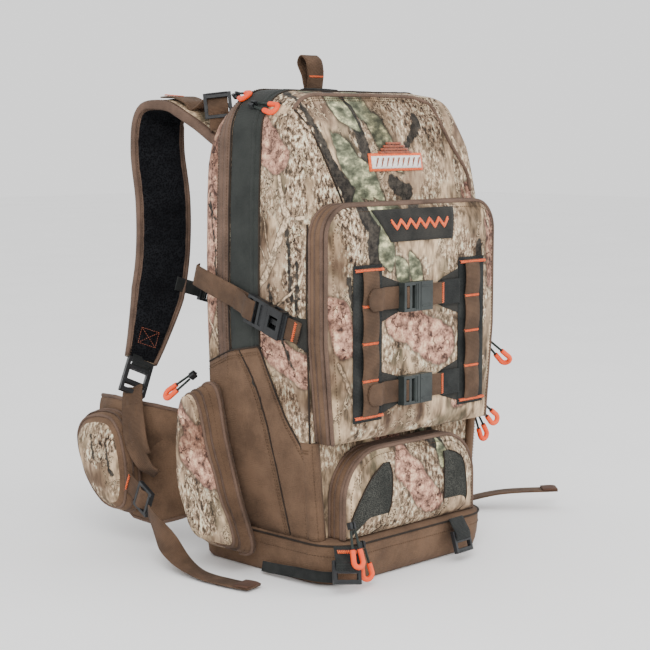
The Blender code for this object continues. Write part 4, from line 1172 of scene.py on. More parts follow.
def make_back():
    """Padded mesh back panel with three sewn channels across and one down its middle."""
    def pad_height(x, z):
        edge = min(0.112 - abs(x), z - 0.06, 0.476 - z)
        height = 0.016 * min(1.0, max(0.0, edge / 0.014)) ** 0.45
        for line in (0.175, 0.27, 0.365):
            height -= 0.0055 * math.exp(-((z - line - 0.1 * abs(x)) / 0.0045) ** 2)
        height -= 0.006 * math.exp(-(x / 0.01) ** 2)
        return max(0.0012, height + ruffle((x, 0.0, z), 20.0, 0.001))

    bm = bmesh.new()
    columns, rows = 64, 110
    grid = []
    for j in range(rows + 1):
        line = []
        for i in range(columns + 1):
            x = -0.112 + 0.224 * i / columns
            z = 0.06 + 0.416 * j / rows
            corner = max(0.0, abs(x) - 0.084), max(0.0, max(0.088 - z, z - 0.448))
            reach = math.hypot(*corner)
            if reach > 0.028:
                x -= math.copysign(corner[0] * (1 - 0.028 / reach), x)
                z += (corner[1] * (1 - 0.028 / reach)) * (1 if z < 0.2 else -1)
            line.append((x, z))
        grid.append(line)
    front = [[bm.verts.new((x, 0.1064, z)) for x, z in line] for line in grid]
    back = [[bm.verts.new((x, 0.1064 + pad_height(x, z), z)) for x, z in line] for line in grid]
    for layer in (front, back):
        fill_grid(bm, layer)
    join_rims(bm, front, back)
    pad = piece("back_cushion", bm, "spacer", "pack", ["back_pad"], merge=0.00001)
    bm = bmesh.new()
    outline = []
    for sx, sz, start in CORNERS:
        for step in range(7):
            angle = math.radians(start + 15 * step)
            outline.append(Vector((sx * 0.085 + 0.028 * math.cos(angle), 0.1085,
                                   (0.449 if sz > 0 else 0.087) + 0.028 * math.sin(angle))))
    add_tube(bm, dense_ring(outline, 0.005), 0.0024, 8, closed=True)
    piece("back_binding", bm, "binding", "pack")


PANEL_TOP = ((0.086, 0.235), (0.045, 0.252), (-0.005, 0.262), (-0.045, 0.185), (-0.0775, 0.14))
PANEL_SEAM = ((0.028, 0.254), (0.006, 0.222), (-0.013, 0.179), (-0.025, 0.135), (-0.033, 0.091),
              (-0.041, 0.05))
SEAM_AT_HEIGHT = [(z, y) for y, z in PANEL_SEAM]


def make_flanks():
    """Brown wear panel over each lower side with its curved seam, hems and topstitching."""
    foot, steps = 0.047, 18
    for side, word in SIDES:
        bm = bmesh.new()
        rings = []
        stations = spread(0.0865, -0.0775, 40)
        top_line = []
        for y in stations:
            top = interpolate(PANEL_TOP, y)
            outer = []
            inner = []
            for step in range(steps + 1):
                z = foot + (top - foot) * step / steps
                fold = 0.0016 * math.exp(-((y - interpolate(SEAM_AT_HEIGHT, z)) / 0.004) ** 2)
                lift = 0.0026 + ruffle((side * 2, y * 0.8, z * 0.35), 30.0, 0.0013) - fold
                if step in (0, steps):
                    lift = 0.0018
                outer.append(side_point(side, y, z, max(0.001, lift)))
                inner.append(side_point(side, y, z, 0.0002))
            rings.append(inner + outer[::-1])
            top_line.append(side_point(side, y, top, 0.0018))
        add_loops(bm, rings)
        piece("flank_panel_" + word, bm, "brown_cloth", "pack", ["side_panel_" + word])
        seam = smooth_path([(0.0, y, z) for y, z in PANEL_SEAM], 6)
        seam_line = [side_point(side, p.y, p.z, 0.002) for p in seam]
        bm = bmesh.new()
        out = Vector((side, 0.0, 0.0))
        add_tube(bm, resample(top_line, 0.003), 0.001, 8)
        add_tube(bm, resample(seam_line, 0.003), 0.0008, 8)
        for shift in (0.0035, 0.0065):
            add_stitches(bm, [side_point(side, p.y + shift, p.z, 0.003) for p in seam], out, index=1)
        for shift in (0.006, 0.009):
            add_stitches(bm, [p + Vector((0.0, 0.0, -shift)) + out * 0.001 for p in top_line], out, index=1)
        piece("flank_seams_" + word, bm, ["thread_dark", "thread_tan"], "pack")


# ---------------------------------------------------------------- pouches

def blend_loops(first, second, share, x):
    return [Vector((x, a.y + (b.y - a.y) * share, a.z + (b.z - a.z) * share)) for a, b in zip(first, second)]


def pouch(name, base, face, levels, side, crown, materials, front_edge, body, nodes, wrinkle=0.0016):
    """Puffed zipped pouch: a gusset, a rounded shoulder and a crowned face. Loops are (y, z) outlines."""
    base = smooth_loop([(0.0, y, z) for y, z in base], 7)
    face = smooth_loop([(0.0, y, z) for y, z in face], 7)
    rings = [blend_loops(base, face, share, x) for x, share in levels]
    centre = sum((p for p in rings[-1]), Vector()) / len(face)
    last = levels[-1][0]
    for share in (0.86, 0.7, 0.52, 0.34, 0.16):
        ring = []
        for p in rings[len(levels) - 1]:
            y = centre.y + (p.y - centre.y) * share
            z = centre.z + (p.z - centre.z) * share
            ring.append(Vector((last + crown * (1 - share ** 2), y, z)))
        rings.append(ring)
    for n, ring in enumerate(rings):
        for point in ring:
            if n > 1:
                point.x += ruffle((side, point.y, point.z), 30.0, wrinkle)
            point.x *= side
    bm = bmesh.new()
    add_loops(bm, rings)
    gusset = levels[4][0]
    for item in bm.faces:
        middle = item.calc_center_median()
        if abs(middle.x) < gusset and front_edge(middle):
            item.material_index = 1
    piece(name, bm, materials, body, nodes)
    return rings


def loop_part(ring, chosen):
    """The longest unbroken run of a closed ring that a test picks."""
    flags = [chosen(p) for p in ring]
    count = len(ring)
    best = []
    for start in range(count):
        if flags[start] and not flags[start - 1]:
            run = []
            k = start
            while flags[k % count] and len(run) < count:
                run.append(ring[k % count])
                k += 1
            if len(run) > len(best):
                best = run
    return best


def make_side_pockets():
    base = ((0.06, 0.208), (0.044, 0.15), (0.022, 0.085), (0.0, 0.028), (0.04, 0.022), (0.07, 0.028),
            (0.09, 0.085), (0.091, 0.15), (0.086, 0.204))
    face = ((0.06, 0.196), (0.044, 0.148), (0.02, 0.092), (-0.002, 0.046), (0.03, 0.04), (0.06, 0.046),
            (0.084, 0.092), (0.087, 0.148), (0.08, 0.196))
    levels = ((0.1484, 0.0), (0.154, 0.05), (0.164, 0.25), (0.1745, 0.55), (0.1835, 0.85), (0.189, 1.0),
              (0.1915, 1.06))
    for side, word in SIDES:
        def near_front(p):
            return p.y < 0.034 + (p.z - 0.06) * 0.28 or p.z > 0.192

        rings = pouch("side_pouch_" + word, base, face, levels, side, 0.003, ["camo_side", "brown_cloth"],
                         near_front, "pack", ["side_pocket_" + word])
        bm = bmesh.new()
        edge = loop_part(rings[4], near_front)
        add_tube(bm, resample([p + Vector((side * 0.0006, -0.0006, 0.0)) for p in edge], 0.003), 0.0019, 10)
        coil = loop_part(rings[3], near_front)
        add_tube(bm, resample([p + Vector((side * 0.0004, -0.0006, 0.0)) for p in coil], 0.0009), 0.0015, 8,
                 index=1, ripple=COIL_RIPPLE)
        foot = loop_part(rings[1], near_front)
        add_tube(bm, resample([p + Vector((side * 0.001, -0.0006, 0.0)) for p in foot], 0.003), 0.0022, 10)
        piece("side_pouch_zip_" + word, bm, ["binding", "zip_coil"], "pack")
        bm = bmesh.new()
        for row, lift in ((2, 0.0013), (5, 0.0016)):
            line = [p + Vector((side * lift, 0.0, 0.0)) for p in loop_part(rings[row], near_front)]
            add_stitches(bm, line, Vector((side, -0.3, 0.0)).normalized())
        piece("side_pouch_stitches_" + word, bm, "thread_tan", "pack")


# ---------------------------------------------------------------- front pockets

def arch_side(half, bottom, top, radius, inset, foot):
    """Right edge of an arch outline, from its foot to the end of its rounded corner."""
    half -= inset
    top -= inset
    bottom += inset * 0.6
    radius = max(0.012, radius - inset * 0.5)
    low, round_steps = 12, 10
    side = []
    for step in range(low):
        share = step / low
        z = bottom + (top - radius - bottom) * share
        side.append((half - foot * max(0.0, 1 - share * 2), z))
    for step in range(round_steps + 1):
        angle = math.radians(90 * step / round_steps)
        side.append((half - radius * (1 - math.cos(angle)), top - radius + radius * math.sin(angle)))
    return side


def arch_loop(side_points, y, columns):
    """Closed outline with the same number of steps across its top and its foot."""
    right = [Vector((x, y, z)) for x, z in side_points]
    left = [Vector((-x, y, z)) for x, z in reversed(side_points)]
    top = [right[-1].lerp(left[0], j / columns) for j in range(1, columns)]
    foot = [left[-1].lerp(right[0], j / columns) for j in range(1, columns)]
    return right + top + left + foot


def arch_panel(name, shape, levels, columns, crown, materials, body, nodes):
    """Crowned panel: rings of the outline at each (depth, inset), closed by a grid on both faces."""
    half, bottom, top, radius, foot = shape
    bm = bmesh.new()
    sides = [arch_side(half, bottom, top, radius, inset, foot) for _, inset in levels]
    rings = [arch_loop(points, y, columns) for points, (y, _) in zip(sides, levels)]
    loops = add_loops(bm, rings, caps=False)
    rows = len(sides[0])
    for loop, (y, inset), bulge in ((loops[0], levels[0], 0.0), (loops[-1], levels[-1], crown)):
        grid = []
        low_z, high_z = loop[0].co.z, loop[rows - 1].co.z
        for i in range(rows):
            right, left = loop[i], loop[2 * rows + columns - 2 - i]
            if i == 0:
                foot_points = loop[2 * rows + columns - 1:]
                grid.append([right] + list(reversed(foot_points)) + [left])
                continue
            if i == rows - 1:
                grid.append(loop[rows - 1:rows + columns])
                continue
            row = [right]
            for j in range(1, columns):
                p = right.co.lerp(left.co, j / columns)
                sideways = 2 * j / columns - 1
                upward = 2 * (p.z - low_z) / (high_z - low_z) - 1
                share = (1 - sideways ** 2) * (1 - upward ** 2)
                row.append(bm.verts.new((p.x, y - bulge * share, p.z)))
            grid.append(row + [left])
        fill_grid(bm, grid)
    return piece(name, bm, materials, body, nodes)


def arch_gusset(name, shape, profile, body, nodes):
    """Side wall of a pocket: a (depth, lift) profile carried round the arch outline."""
    half, bottom, top, radius, foot = shape
    outline = arch_loop(arch_side(half, bottom, top, radius, 0.0, foot), 0.0, 40)
    rings = []
    for i, point in enumerate(outline):
        ahead = outline[(i + 1) % len(outline)] - outline[i - 1]
        out = Vector((ahead.z, 0.0, -ahead.x)).normalized()
        rings.append([Vector((point.x + out.x * lift, y, point.z + out.z * lift)) for y, lift in profile])
    bm = bmesh.new()
    add_loops(bm, rings, closed_along=True)
    return piece(name, bm, "brown_cloth", body, nodes)


def arch_line(shape, y, lift):
    """Open line up one side of the arch, over its top and down the other."""
    half, bottom, top, radius, foot = shape
    side = arch_side(half, bottom, top, radius, -lift, foot)
    side = [(x, max(bottom, z)) for x, z in side]
    right = [Vector((x, y, z)) for x, z in side]
    return right + [Vector((-p.x, p.y, p.z)) for p in reversed(right)]


UPPER = (0.141, 0.16, 0.42, 0.034, 0.011)
LOWER = (0.11, 0.05, 0.147, 0.055, 0.0)
UPPER_LEVELS = ((-0.1014, 0.0), (-0.104, 0.0), (-0.1068, 0.002), (-0.1092, 0.006), (-0.1114, 0.012),
                (-0.1134, 0.02), (-0.1148, 0.029), (-0.1154, 0.036))
LOWER_LEVELS = ((-0.0994, 0.0), (-0.102, 0.0), (-0.1046, 0.002), (-0.107, 0.006), (-0.1094, 0.012),
                (-0.1114, 0.019), (-0.1128, 0.026), (-0.1134, 0.032))
GUSSET = ((0.0, 0.0), (-0.005, 0.0014), (-0.009, 0.0017), (-0.0102, 0.0006), (-0.0114, 0.0017),
          (-0.017, 0.0015), (-0.0205, 0.0004), (-0.0205, -0.004), (0.0, -0.004))


CRESCENTS = (
    ((-0.047, -0.056, 0.131), (-0.0445, -0.0735, 0.12), (-0.044, -0.085, 0.108), (-0.0445, -0.094, 0.094),
     (-0.047, -0.101, 0.08), (-0.051, -0.1045, 0.068), (-0.058, -0.105, 0.059), (-0.07, -0.104, 0.053)),
    ((0.047, 0.056, 0.13), (0.0465, 0.07, 0.125), (0.046, 0.0815, 0.116), (0.046, 0.085, 0.1),
     (0.046, 0.088, 0.082), (0.046, 0.088, 0.068), (0.046, 0.086, 0.059), (0.046, 0.08, 0.053)),
)


def flap_y(x, z, lift=0.0):
    """Depth of the front flap's face."""
    edge = min(UPPER[2] - z, UPPER[0] - abs(x), z - UPPER[1] + 0.02)
    table = [(inset, y) for y, inset in UPPER_LEVELS[1:]]
    return interpolate(table, edge) - lift


def lower_flap_y(x, z):
    """Depth of the lower flap's face, rounded at its upper corners."""
    half, bottom, top, radius, _ = LOWER
    corner = math.hypot(max(0.0, abs(x) - half + radius), max(0.0, z - top + radius))
    edge = max(0.0, min(radius - corner, z - bottom))
    table = [(inset, y) for y, inset in LOWER_LEVELS[1:]]
    return interpolate(table, edge) - 0.0004


POCKETS = (("upper", UPPER, UPPER_LEVELS, "front_flap", 40, 0.0),
           ("lower", LOWER, LOWER_LEVELS, "lower_flap", 64, 0.0006))
CORNER_SECTION = ((-0.001, -0.062), (0.0024, -0.065), (0.004, -0.072), (0.0036, -0.079),
                  (0.0004, -0.083), (-0.005, -0.085), (-0.01, -0.0835), (-0.011, -0.079),
                  (-0.003, -0.077))


def make_crescents(flap):
    """Dark net panels that curve down both sides of the lower flap."""
    for side, rows in zip(("left", "right"), CRESCENTS):
        bm = bmesh.new()
        inner = smooth_path([(a, 0.0, z) for a, b, z in rows], 3)
        outer = smooth_path([(b, 0.0, z) for a, b, z in rows], 3)
        plate(bm, [(p.x, q.x, p.z) for p, q in zip(inner, outer)], lower_flap_y, 0.0009)
        piece("net_crescent_" + side, bm, "net", flap)
        bm = bmesh.new()
        for edge in (inner, outer):
            seam = [Vector((p.x, lower_flap_y(p.x, p.z) - 0.001, p.z)) for p in edge]
            add_tube(bm, seam, 0.0008, 6)
        piece("crescent_seams_" + side, bm, "thread_dark", flap)


def make_front_pockets():
    rear = -0.0784
    for word, shape, levels, flap, columns, crown in POCKETS:
        profile = [(rear + y, lift) for y, lift in GUSSET]
        arch_gusset("gusset_" + word, shape, profile, "pack", ["pocket_wall_" + word])
        bm = bmesh.new()
        for y, lift, r in ((rear - 0.0205, 0.0006, 0.0024), (rear - 0.0022, 0.001, 0.0017)):
            add_tube(bm, resample(arch_line(shape, y, lift), 0.003), r, 10)
        coil = resample(arch_line(shape, rear - 0.0102, 0.0012), 0.001)
        add_tube(bm, coil, 0.0013, 8, index=1, ripple=COIL_RIPPLE)
        piece("gusset_trim_" + word, bm, ["binding", "zip_coil"], "pack")
        arch_panel("flap_" + word, shape, levels, columns, crown, ["camo_front"], flap, [flap])
        if word == "lower":
            make_crescents(flap)
        bm = bmesh.new()
        face = levels[1][0]
        add_tube(bm, resample(arch_line(shape, face - 0.0008, 0.0004), 0.003), 0.0022, 10)
        line = arch_line(shape, levels[3][0] - 0.0003, -levels[3][1])
        add_stitches(bm, line, Vector((0.0, -1.0, 0.0)), index=1)
        piece("flap_binding_" + word, bm, ["binding", "thread_tan"], flap)


def make_corner_strips():
    """Brown corner strips that carry the gusset's line down to the base."""
    for side, word in SIDES:
        bm = bmesh.new()
        rings = []
        for z in spread(0.16, 0.046, 14):
            x = half_width(Y_FRONT, z)
            rings.append([Vector((side * (x + px), py, z)) for px, py in CORNER_SECTION])
        add_loops(bm, rings)
        piece("corner_strip_" + word, bm, "brown_cloth", "pack")
        bm = bmesh.new()
        for px, py in ((0.003, -0.0662), (0.0012, -0.0828)):
            line = [Vector((side * (half_width(Y_FRONT, z) + px), py, z)) for z in spread(0.158, 0.048, 20)]
            add_stitches(bm, line, Vector((side, -0.5, 0.0)).normalized())
        for z in (0.152, 0.149):
            x = half_width(Y_FRONT, z)
            section = ((0.0026, -0.0655), (0.0042, -0.072), (0.0038, -0.0788))
            add_tube(bm, [Vector((side * (x + px), py, z)) for px, py in section], 0.0006, 6)
        piece("corner_stitches_" + word, bm, "thread_tan", "pack")


# ---------------------------------------------------------------- patches without lettering

def plate(bm, outline, depth, thick, index=0):
    """Thin patch lying on a face: outline rows of (x0, x1, z), depth(x, z) gives the face."""
    front, back = [], []
    for x0, x1, z in outline:
        xs = spread(x0, x1, 24)
        front.append([bm.verts.new((x, depth(x, z) - thick, z)) for x in xs])
        back.append([bm.verts.new((x, depth(x, z) + 0.0006, z)) for x in xs])
    for layer in (front, back):
        fill_grid(bm, layer, index)
    join_rims(bm, front, back, index)


def make_patches():
    """Blank woven label on the flap and a plain embroidered bar above it."""
    bm = bmesh.new()
    rows = []
    for share in spread(0.0, 1.0, 10):
        rows.append((-0.05 - 0.026 * share, 0.054 + 0.008 * share, 0.379 + 0.036 * share))
    plate(bm, rows, flap_y, 0.001)
    piece("blank_label", bm, "shade_cloth", "front_flap")
    bm = bmesh.new()
    zigzag = []
    for n in range(13):
        x = -0.048 + 0.096 * n / 12
        zigzag.append(Vector((x, 0.0, 0.3925 if n % 2 else 0.4015)))
    dense = resample(zigzag, 0.002)
    for rise in (0.0, 0.0022):
        add_tube(bm, [Vector((p.x, flap_y(p.x, p.z + rise, 0.0013), p.z + rise)) for p in dense], 0.0011, 6)
    piece("label_zigzag", bm, "orange_thread", "front_flap")

    bm = bmesh.new()
    plate(bm, [(-0.041, 0.049, z) for z in spread(0.456, 0.476, 6)], face_y, 0.0014, 0)
    plate(bm, [(-0.0375, 0.0455, z) for z in spread(0.459, 0.473, 5)], face_y, 0.0021, 1)
    for n in range(4):
        z = 0.4768 + 0.0034 * n
        half = 0.028 - 0.0052 * n
        line = [Vector((x, face_y(x, z, 0.001), z)) for x in spread(0.004 - half, 0.004 + half, 10)]
        add_tube(bm, line, 0.0016, 6, index=2)
    piece("plain_emblem", bm, ["orange_thread", "pale_thread", "rust_thread"], "pack")
    bm = bmesh.new()
    for n in range(9):
        x = -0.031 + 0.07 * n / 8
        y = face_y(x, 0.466, 0.0024)
        path = [Vector((x + 0.0035 * s, y, 0.461 + 0.01 * s)) for s in (0, 0.5, 1.0)]
        add_tube(bm, path, 0.0009, 6)
    piece("emblem_hatching", bm, "rust_thread", "pack")


# ---------------------------------------------------------------- webbing ladders and accessory straps

FLAP_FACE = -0.1158
MOLLE_X = 0.088
MOLLE_BOTTOM = 0.187
MOLLE_TOP = 0.352


def make_ladders():
    pitch = (MOLLE_TOP - MOLLE_BOTTOM) / 4
    for side, word in SIDES:
        x = side * MOLLE_X
        path = [Vector((x, FLAP_FACE - 0.0006, z)) for z in spread(0.183, 0.356, 30)]
        ribbon("ladder_backing_" + word, path, (1.0, 0.0, 0.0), 0.046, "black_web", "front_flap",
               ["ladder_column_" + word], thick=0.0014)
        path = []
        for z in spread(MOLLE_BOTTOM - 0.001, MOLLE_TOP + 0.001, 96):
            share = ((z - MOLLE_BOTTOM) / pitch) % 1.0
            stand = abs(math.sin(math.pi * share)) ** 0.45
            path.append(Vector((x - side * 0.0015, FLAP_FACE - 0.0018 - 0.0036 * stand, z)))
        ribbon("ladder_webbing_" + word, path, (1.0, 0.0, 0.0), WEB, "brown_web", "front_flap")
        bm = bmesh.new()
        for n in range(5):
            z = MOLLE_BOTTOM + n * pitch + (0.0015 if n == 0 else (-0.0015 if n == 4 else 0.0))
            wide = n in (0, 4)
            centre = (x if wide else x - side * 0.0015, FLAP_FACE - 0.003, z)
            place = frame_matrix(centre, (1.0, 0.0, 0.0), (0.0, -1.0, 0.0))
            add_bartack(bm, place, 0.045 if wide else 0.0245, 0.003, 0.0013)
        piece("ladder_bartacks_" + word, bm, "orange_thread", "front_flap")


def make_strap_backing(word, z, lean_up):
    """Dark backing, cut at an angle where it meets each ladder."""
    bm = bmesh.new()
    for sign in (-1, 1):
        outline = []
        for share in spread(-1.0, 1.0, 12):
            x_far = sign * 0.066
            x_near = sign * (0.066 - 0.036 * (1 - max(0.0, (abs(share) - 0.55) / 0.45)))
            outline.append((min(x_far, x_near), max(x_far, x_near), z + lean_up * share))
        plate(bm, outline, lambda px, pz: FLAP_FACE + 0.0004, 0.0009)
    piece("strap_backing_" + word, bm, "shade_cloth", "front_flap")


def make_accessory_buckle(word, z, lift):
    """Receiver and clip, flush when closed, with moulded ribs."""
    face, rib = lift - 0.0095, lift - 0.0102
    moulded("receiver_" + word,
            [(-0.012, 0.008, face, lift, z - 0.0165, z + 0.0165),
             (-0.01, 0.006, rib, face, z - 0.012, z - 0.01),
             (-0.01, 0.006, rib, face, z + 0.01, z + 0.012)],
            [(-0.013, 0.0035, lift - 0.0075, lift - 0.002, z - 0.0135, z + 0.0135)],
            Matrix.Identity(4), "front_flap", ["accessory_receiver_" + word], "acetal_green")
    moulded("clip_body_" + word,
            [(-0.04, -0.0128, face, lift, z - 0.0165, z + 0.0165),
             (-0.0128, 0.0028, lift - 0.007, lift - 0.0025, z - 0.013, z + 0.013),
             (-0.0205, -0.019, rib, face, z - 0.0145, z + 0.0145),
             (-0.0175, -0.016, rib, face, z - 0.0145, z + 0.0145)],
            [(-0.036, -0.031, lift - 0.012, lift + 0.001, z - 0.0128, z + 0.0128),
             (-0.027, -0.022, lift - 0.012, lift + 0.001, z - 0.0128, z + 0.0128)],
            Matrix.Identity(4), "clip_" + word, ["accessory_clip_" + word], "acetal_green")


def make_accessory_straps():
    up = (0.0, 0.0, 1.0)
    lift = -0.1154 - 0.0004 - WEB_THICK - 0.0004
    for z, word, lean_up in ((0.3175, "upper", 0.026), (0.2125, "lower", 0.024)):
        make_strap_backing(word, z, lean_up)
        # webbing with a rounded end lying over the left ladder
        path, widths = [], []
        for x in spread(-0.0935, -0.03, 40):
            over = 1.0 if x < -0.074 else max(0.0, 1 - (x + 0.074) / 0.012)
            path.append(Vector((x, FLAP_FACE - 0.0024 - 0.0048 * over * over * (3 - 2 * over), z)))
            end = min(1.0, (x + 0.0935) / 0.01)
            widths.append(WEB * (math.sqrt(max(0.03, 1 - (1 - end) ** 2))))
        web = ribbon("strap_web_left_" + word, path, up, widths, "brown_web", "front_flap",
                     ["accessory_strap_" + word])
        web.parent = None
        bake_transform(web)
        path = []
        for x in spread(0.0065, 0.036, 20):
            path.append(Vector((x, lift - 0.0012 - 0.0006 * math.sin((x - 0.008) * 90), z)))
        ribbon("strap_web_right_" + word, path, up, WEB, "brown_web", "front_flap")
        path = [Vector((x, lift - 0.0004, z)) for x in spread(0.034, 0.0655, 14)]
        ribbon("strap_tab_" + word, path, up, WEB + 0.004, "black_web", "front_flap")
        place = frame_matrix((0.0335, lift - 0.0022, z), up, (0.0, -1.0, 0.0))
        bartack("strap_bartack_" + word, place, 0.023, "front_flap", width=0.003)
        make_accessory_buckle(word, z, lift)
        path = []
        for x in spread(-0.0365, -0.0225, 24):
            sunk = 0.0035 if x > -0.029 or x < -0.035 else 0.0
            path.append(Vector((x, lift - 0.0085 + sunk, z)))
        ribbon("clip_web_" + word, path, up, WEB - 0.001, "brown_web", "clip_" + word, thick=0.0012)


def make_haul_loop():
    path = smooth_path([(-0.002, 0.0522, 0.5495), (-0.003, 0.05, 0.558), (-0.004, 0.048, 0.568),
                        (-0.009, 0.0465, 0.582), (-0.011, 0.053, 0.589), (-0.009, 0.06, 0.582),
                        (-0.004, 0.059, 0.568), (-0.003, 0.0575, 0.558), (-0.002, 0.0558, 0.5495)], 6)
    ribbon("grab_loop", path, (1.0, 0.0, 0.0), 0.026, "brown_web", "haul_loop", ["haul_loop"], thick=0.002)
    bm = bmesh.new()
    for z, y in ((0.565, 0.0474), (0.571, 0.0472)):
        place = frame_matrix((-0.003, y + 0.0012, z), (1.0, 0.0, 0.0), (0.0, -1.0, 0.1))
        add_bartack(bm, place, 0.024, 0.0026, 0.0012)
    piece("grab_loop_bartacks", bm, "orange_thread", "haul_loop")
    bm = bmesh.new()
    path = smooth_path([(-0.002, 0.03, 0.5488), (-0.002, 0.044, 0.55), (-0.002, 0.056, 0.5502),
                        (-0.002, 0.074, 0.545)], 5)
    add_ribbon(bm, path, (1.0, 0.0, 0.0), 0.034, 0.0016)
    piece("grab_loop_patch", bm, "black_web", "pack")


# ---------------------------------------------------------------- compression straps

COMP_REAR = Vector((-0.15, 0.098, 0.336))
COMP_FRONT = Vector((-0.15, -0.094, 0.276))


def make_compression_straps():
    for side, word in SIDES:
        rear = mirrored(COMP_REAR, -side)
        front = mirrored(COMP_FRONT, -side)
        along = (front - rear).normalized()
        out = Vector((side, 0.0, 0.0))
        place = frame_matrix(rear, along, out)
        across = out.cross(along)

        def spot(run, lift):
            return rear + along * run + out * lift

        path = [spot(-0.004, -0.006)]
        path += [spot(run, 0.0012 + 0.0006 * math.sin(run * 60)) for run in spread(0.0, 0.1, 30)]
        path += [spot(0.106, 0.003), spot(0.1125, 0.0072)]
        ribbon("comp_web_rear_" + word, path, across, WEB, "brown_web", "pack",
               ["compression_strap_" + word])
        path = [spot(0.113, 0.0102), spot(0.106, 0.0106), spot(0.098, 0.0098), spot(0.09, 0.0052),
                spot(0.082, 0.0034), spot(0.074, 0.0032)]
        ribbon("comp_web_fold_" + word, smooth_path(path, 5), across, WEB - 0.001, "brown_web",
               "comp_clip_" + word, thick=0.0014)
        z1 = 0.0022
        moulded("side_clip_body_" + word, [(0.1, 0.1346, -0.0165, 0.0165, z1, z1 + 0.0075),
                                           (0.13, 0.1346, -0.015, 0.015, z1 + 0.0075, z1 + 0.0084),
                                           (0.1346, 0.153, -0.003, 0.003, z1 + 0.0015, z1 + 0.005),
                                           (0.1346, 0.15, -0.013, -0.0095, z1 + 0.0015, z1 + 0.005),
                                           (0.1346, 0.15, 0.0095, 0.013, z1 + 0.0015, z1 + 0.005)],
                [(0.104, 0.109, -0.013, 0.013, z1 - 0.001, z1 + 0.01),
                 (0.1135, 0.1185, -0.013, 0.013, z1 - 0.001, z1 + 0.01),
                 (0.1225, 0.1275, -0.012, 0.012, z1 + 0.006, z1 + 0.01)], place,
                "comp_clip_" + word, ["side_clip_" + word])
        z0 = 0.0006
        moulded("side_socket_" + word, [(0.135, 0.158, -0.0165, 0.0165, z0, z0 + 0.0105),
                                        (0.158, 0.163, -0.0145, 0.0145, z0, z0 + 0.007)],
                [(0.134, 0.154, -0.014, 0.014, z0 + 0.0025, z0 + 0.008),
                 (0.141, 0.151, -0.017, -0.0135, z0 + 0.0025, z0 + 0.008),
                 (0.141, 0.151, 0.0135, 0.017, z0 + 0.0025, z0 + 0.008),
                 (0.1395, 0.1525, -0.007, 0.007, z0 + 0.008, z0 + 0.011)], place, "pack",
                ["side_receiver_" + word])
        path = smooth_path([spot(0.157, 0.0052), spot(0.163, 0.0046), spot(0.17, 0.0034),
                            spot(0.176, 0.0024), spot(0.1805, 0.002)], 4)
        ribbon("comp_web_front_" + word, path, across, WEB, "brown_web", "pack", thick=0.0026)
        tack = frame_matrix(spot(0.1745, 0.004), across, out)
        bartack("comp_bartack_" + word, tack, 0.022, "pack", width=0.003)
        bm = bmesh.new()
        rings = []
        for y, low, high in ((-0.05, 0.277, 0.301), (-0.064, 0.269, 0.299), (-0.079, 0.262, 0.298)):
            rings.append([Vector((side * (half_width(y, z) + lift), y, z))
                          for z, lift in [(v, 0.003) for v in spread(low, high, 6)]
                          + [(v, 0.0) for v in spread(high, low, 6)]])
        add_loops(bm, rings)
        piece("comp_patch_" + word, bm, "shade_cloth", "pack")


# ---------------------------------------------------------------- harness

STRAP_ROUTE = ((-0.066, 0.123, 0.488), (-0.071, 0.16, 0.513), (-0.077, 0.2, 0.531),
               (-0.085, 0.236, 0.52), (-0.091, 0.237, 0.478), (-0.095, 0.223, 0.417),
               (-0.099, 0.219, 0.356), (-0.11, 0.216, 0.306), (-0.134, 0.206, 0.257),
               (-0.152, 0.199, 0.226))
LOCK_BODY = ((0.0, 0.03, -0.0165, 0.0165, 0.0, 0.005), (0.0285, 0.03, -0.012, 0.012, 0.005, 0.0068))
LOCK_SLOTS = ((0.004, 0.011, -0.0125, 0.0125, -0.001, 0.006), (0.016, 0.024, -0.0125, 0.0125, -0.001, 0.006))
STRAP_FOOT_ANCHOR = (-0.168, 0.152, 0.095)


def strap_frames(side):
    """Dense strap centreline with its across, inward and width at every point."""
    path = resample(smooth_path([mirrored(p, -side) for p in STRAP_ROUTE], 8), 0.004)
    result = []
    for i, point in enumerate(path):
        share = i / (len(path) - 1)
        turn = min(1.0, share / 0.45)
        tangent = chord(path, i).normalized()
        across = Vector((1.0, side * 0.42 * turn, 0.0))
        across = (across - tangent * tangent.dot(across)).normalized()
        width = 0.062 + 0.006 * math.sin(math.pi * share) - 0.022 * max(0.0, share - 0.8) / 0.2
        result.append((point, tangent, across, tangent.cross(across), width))
    return result


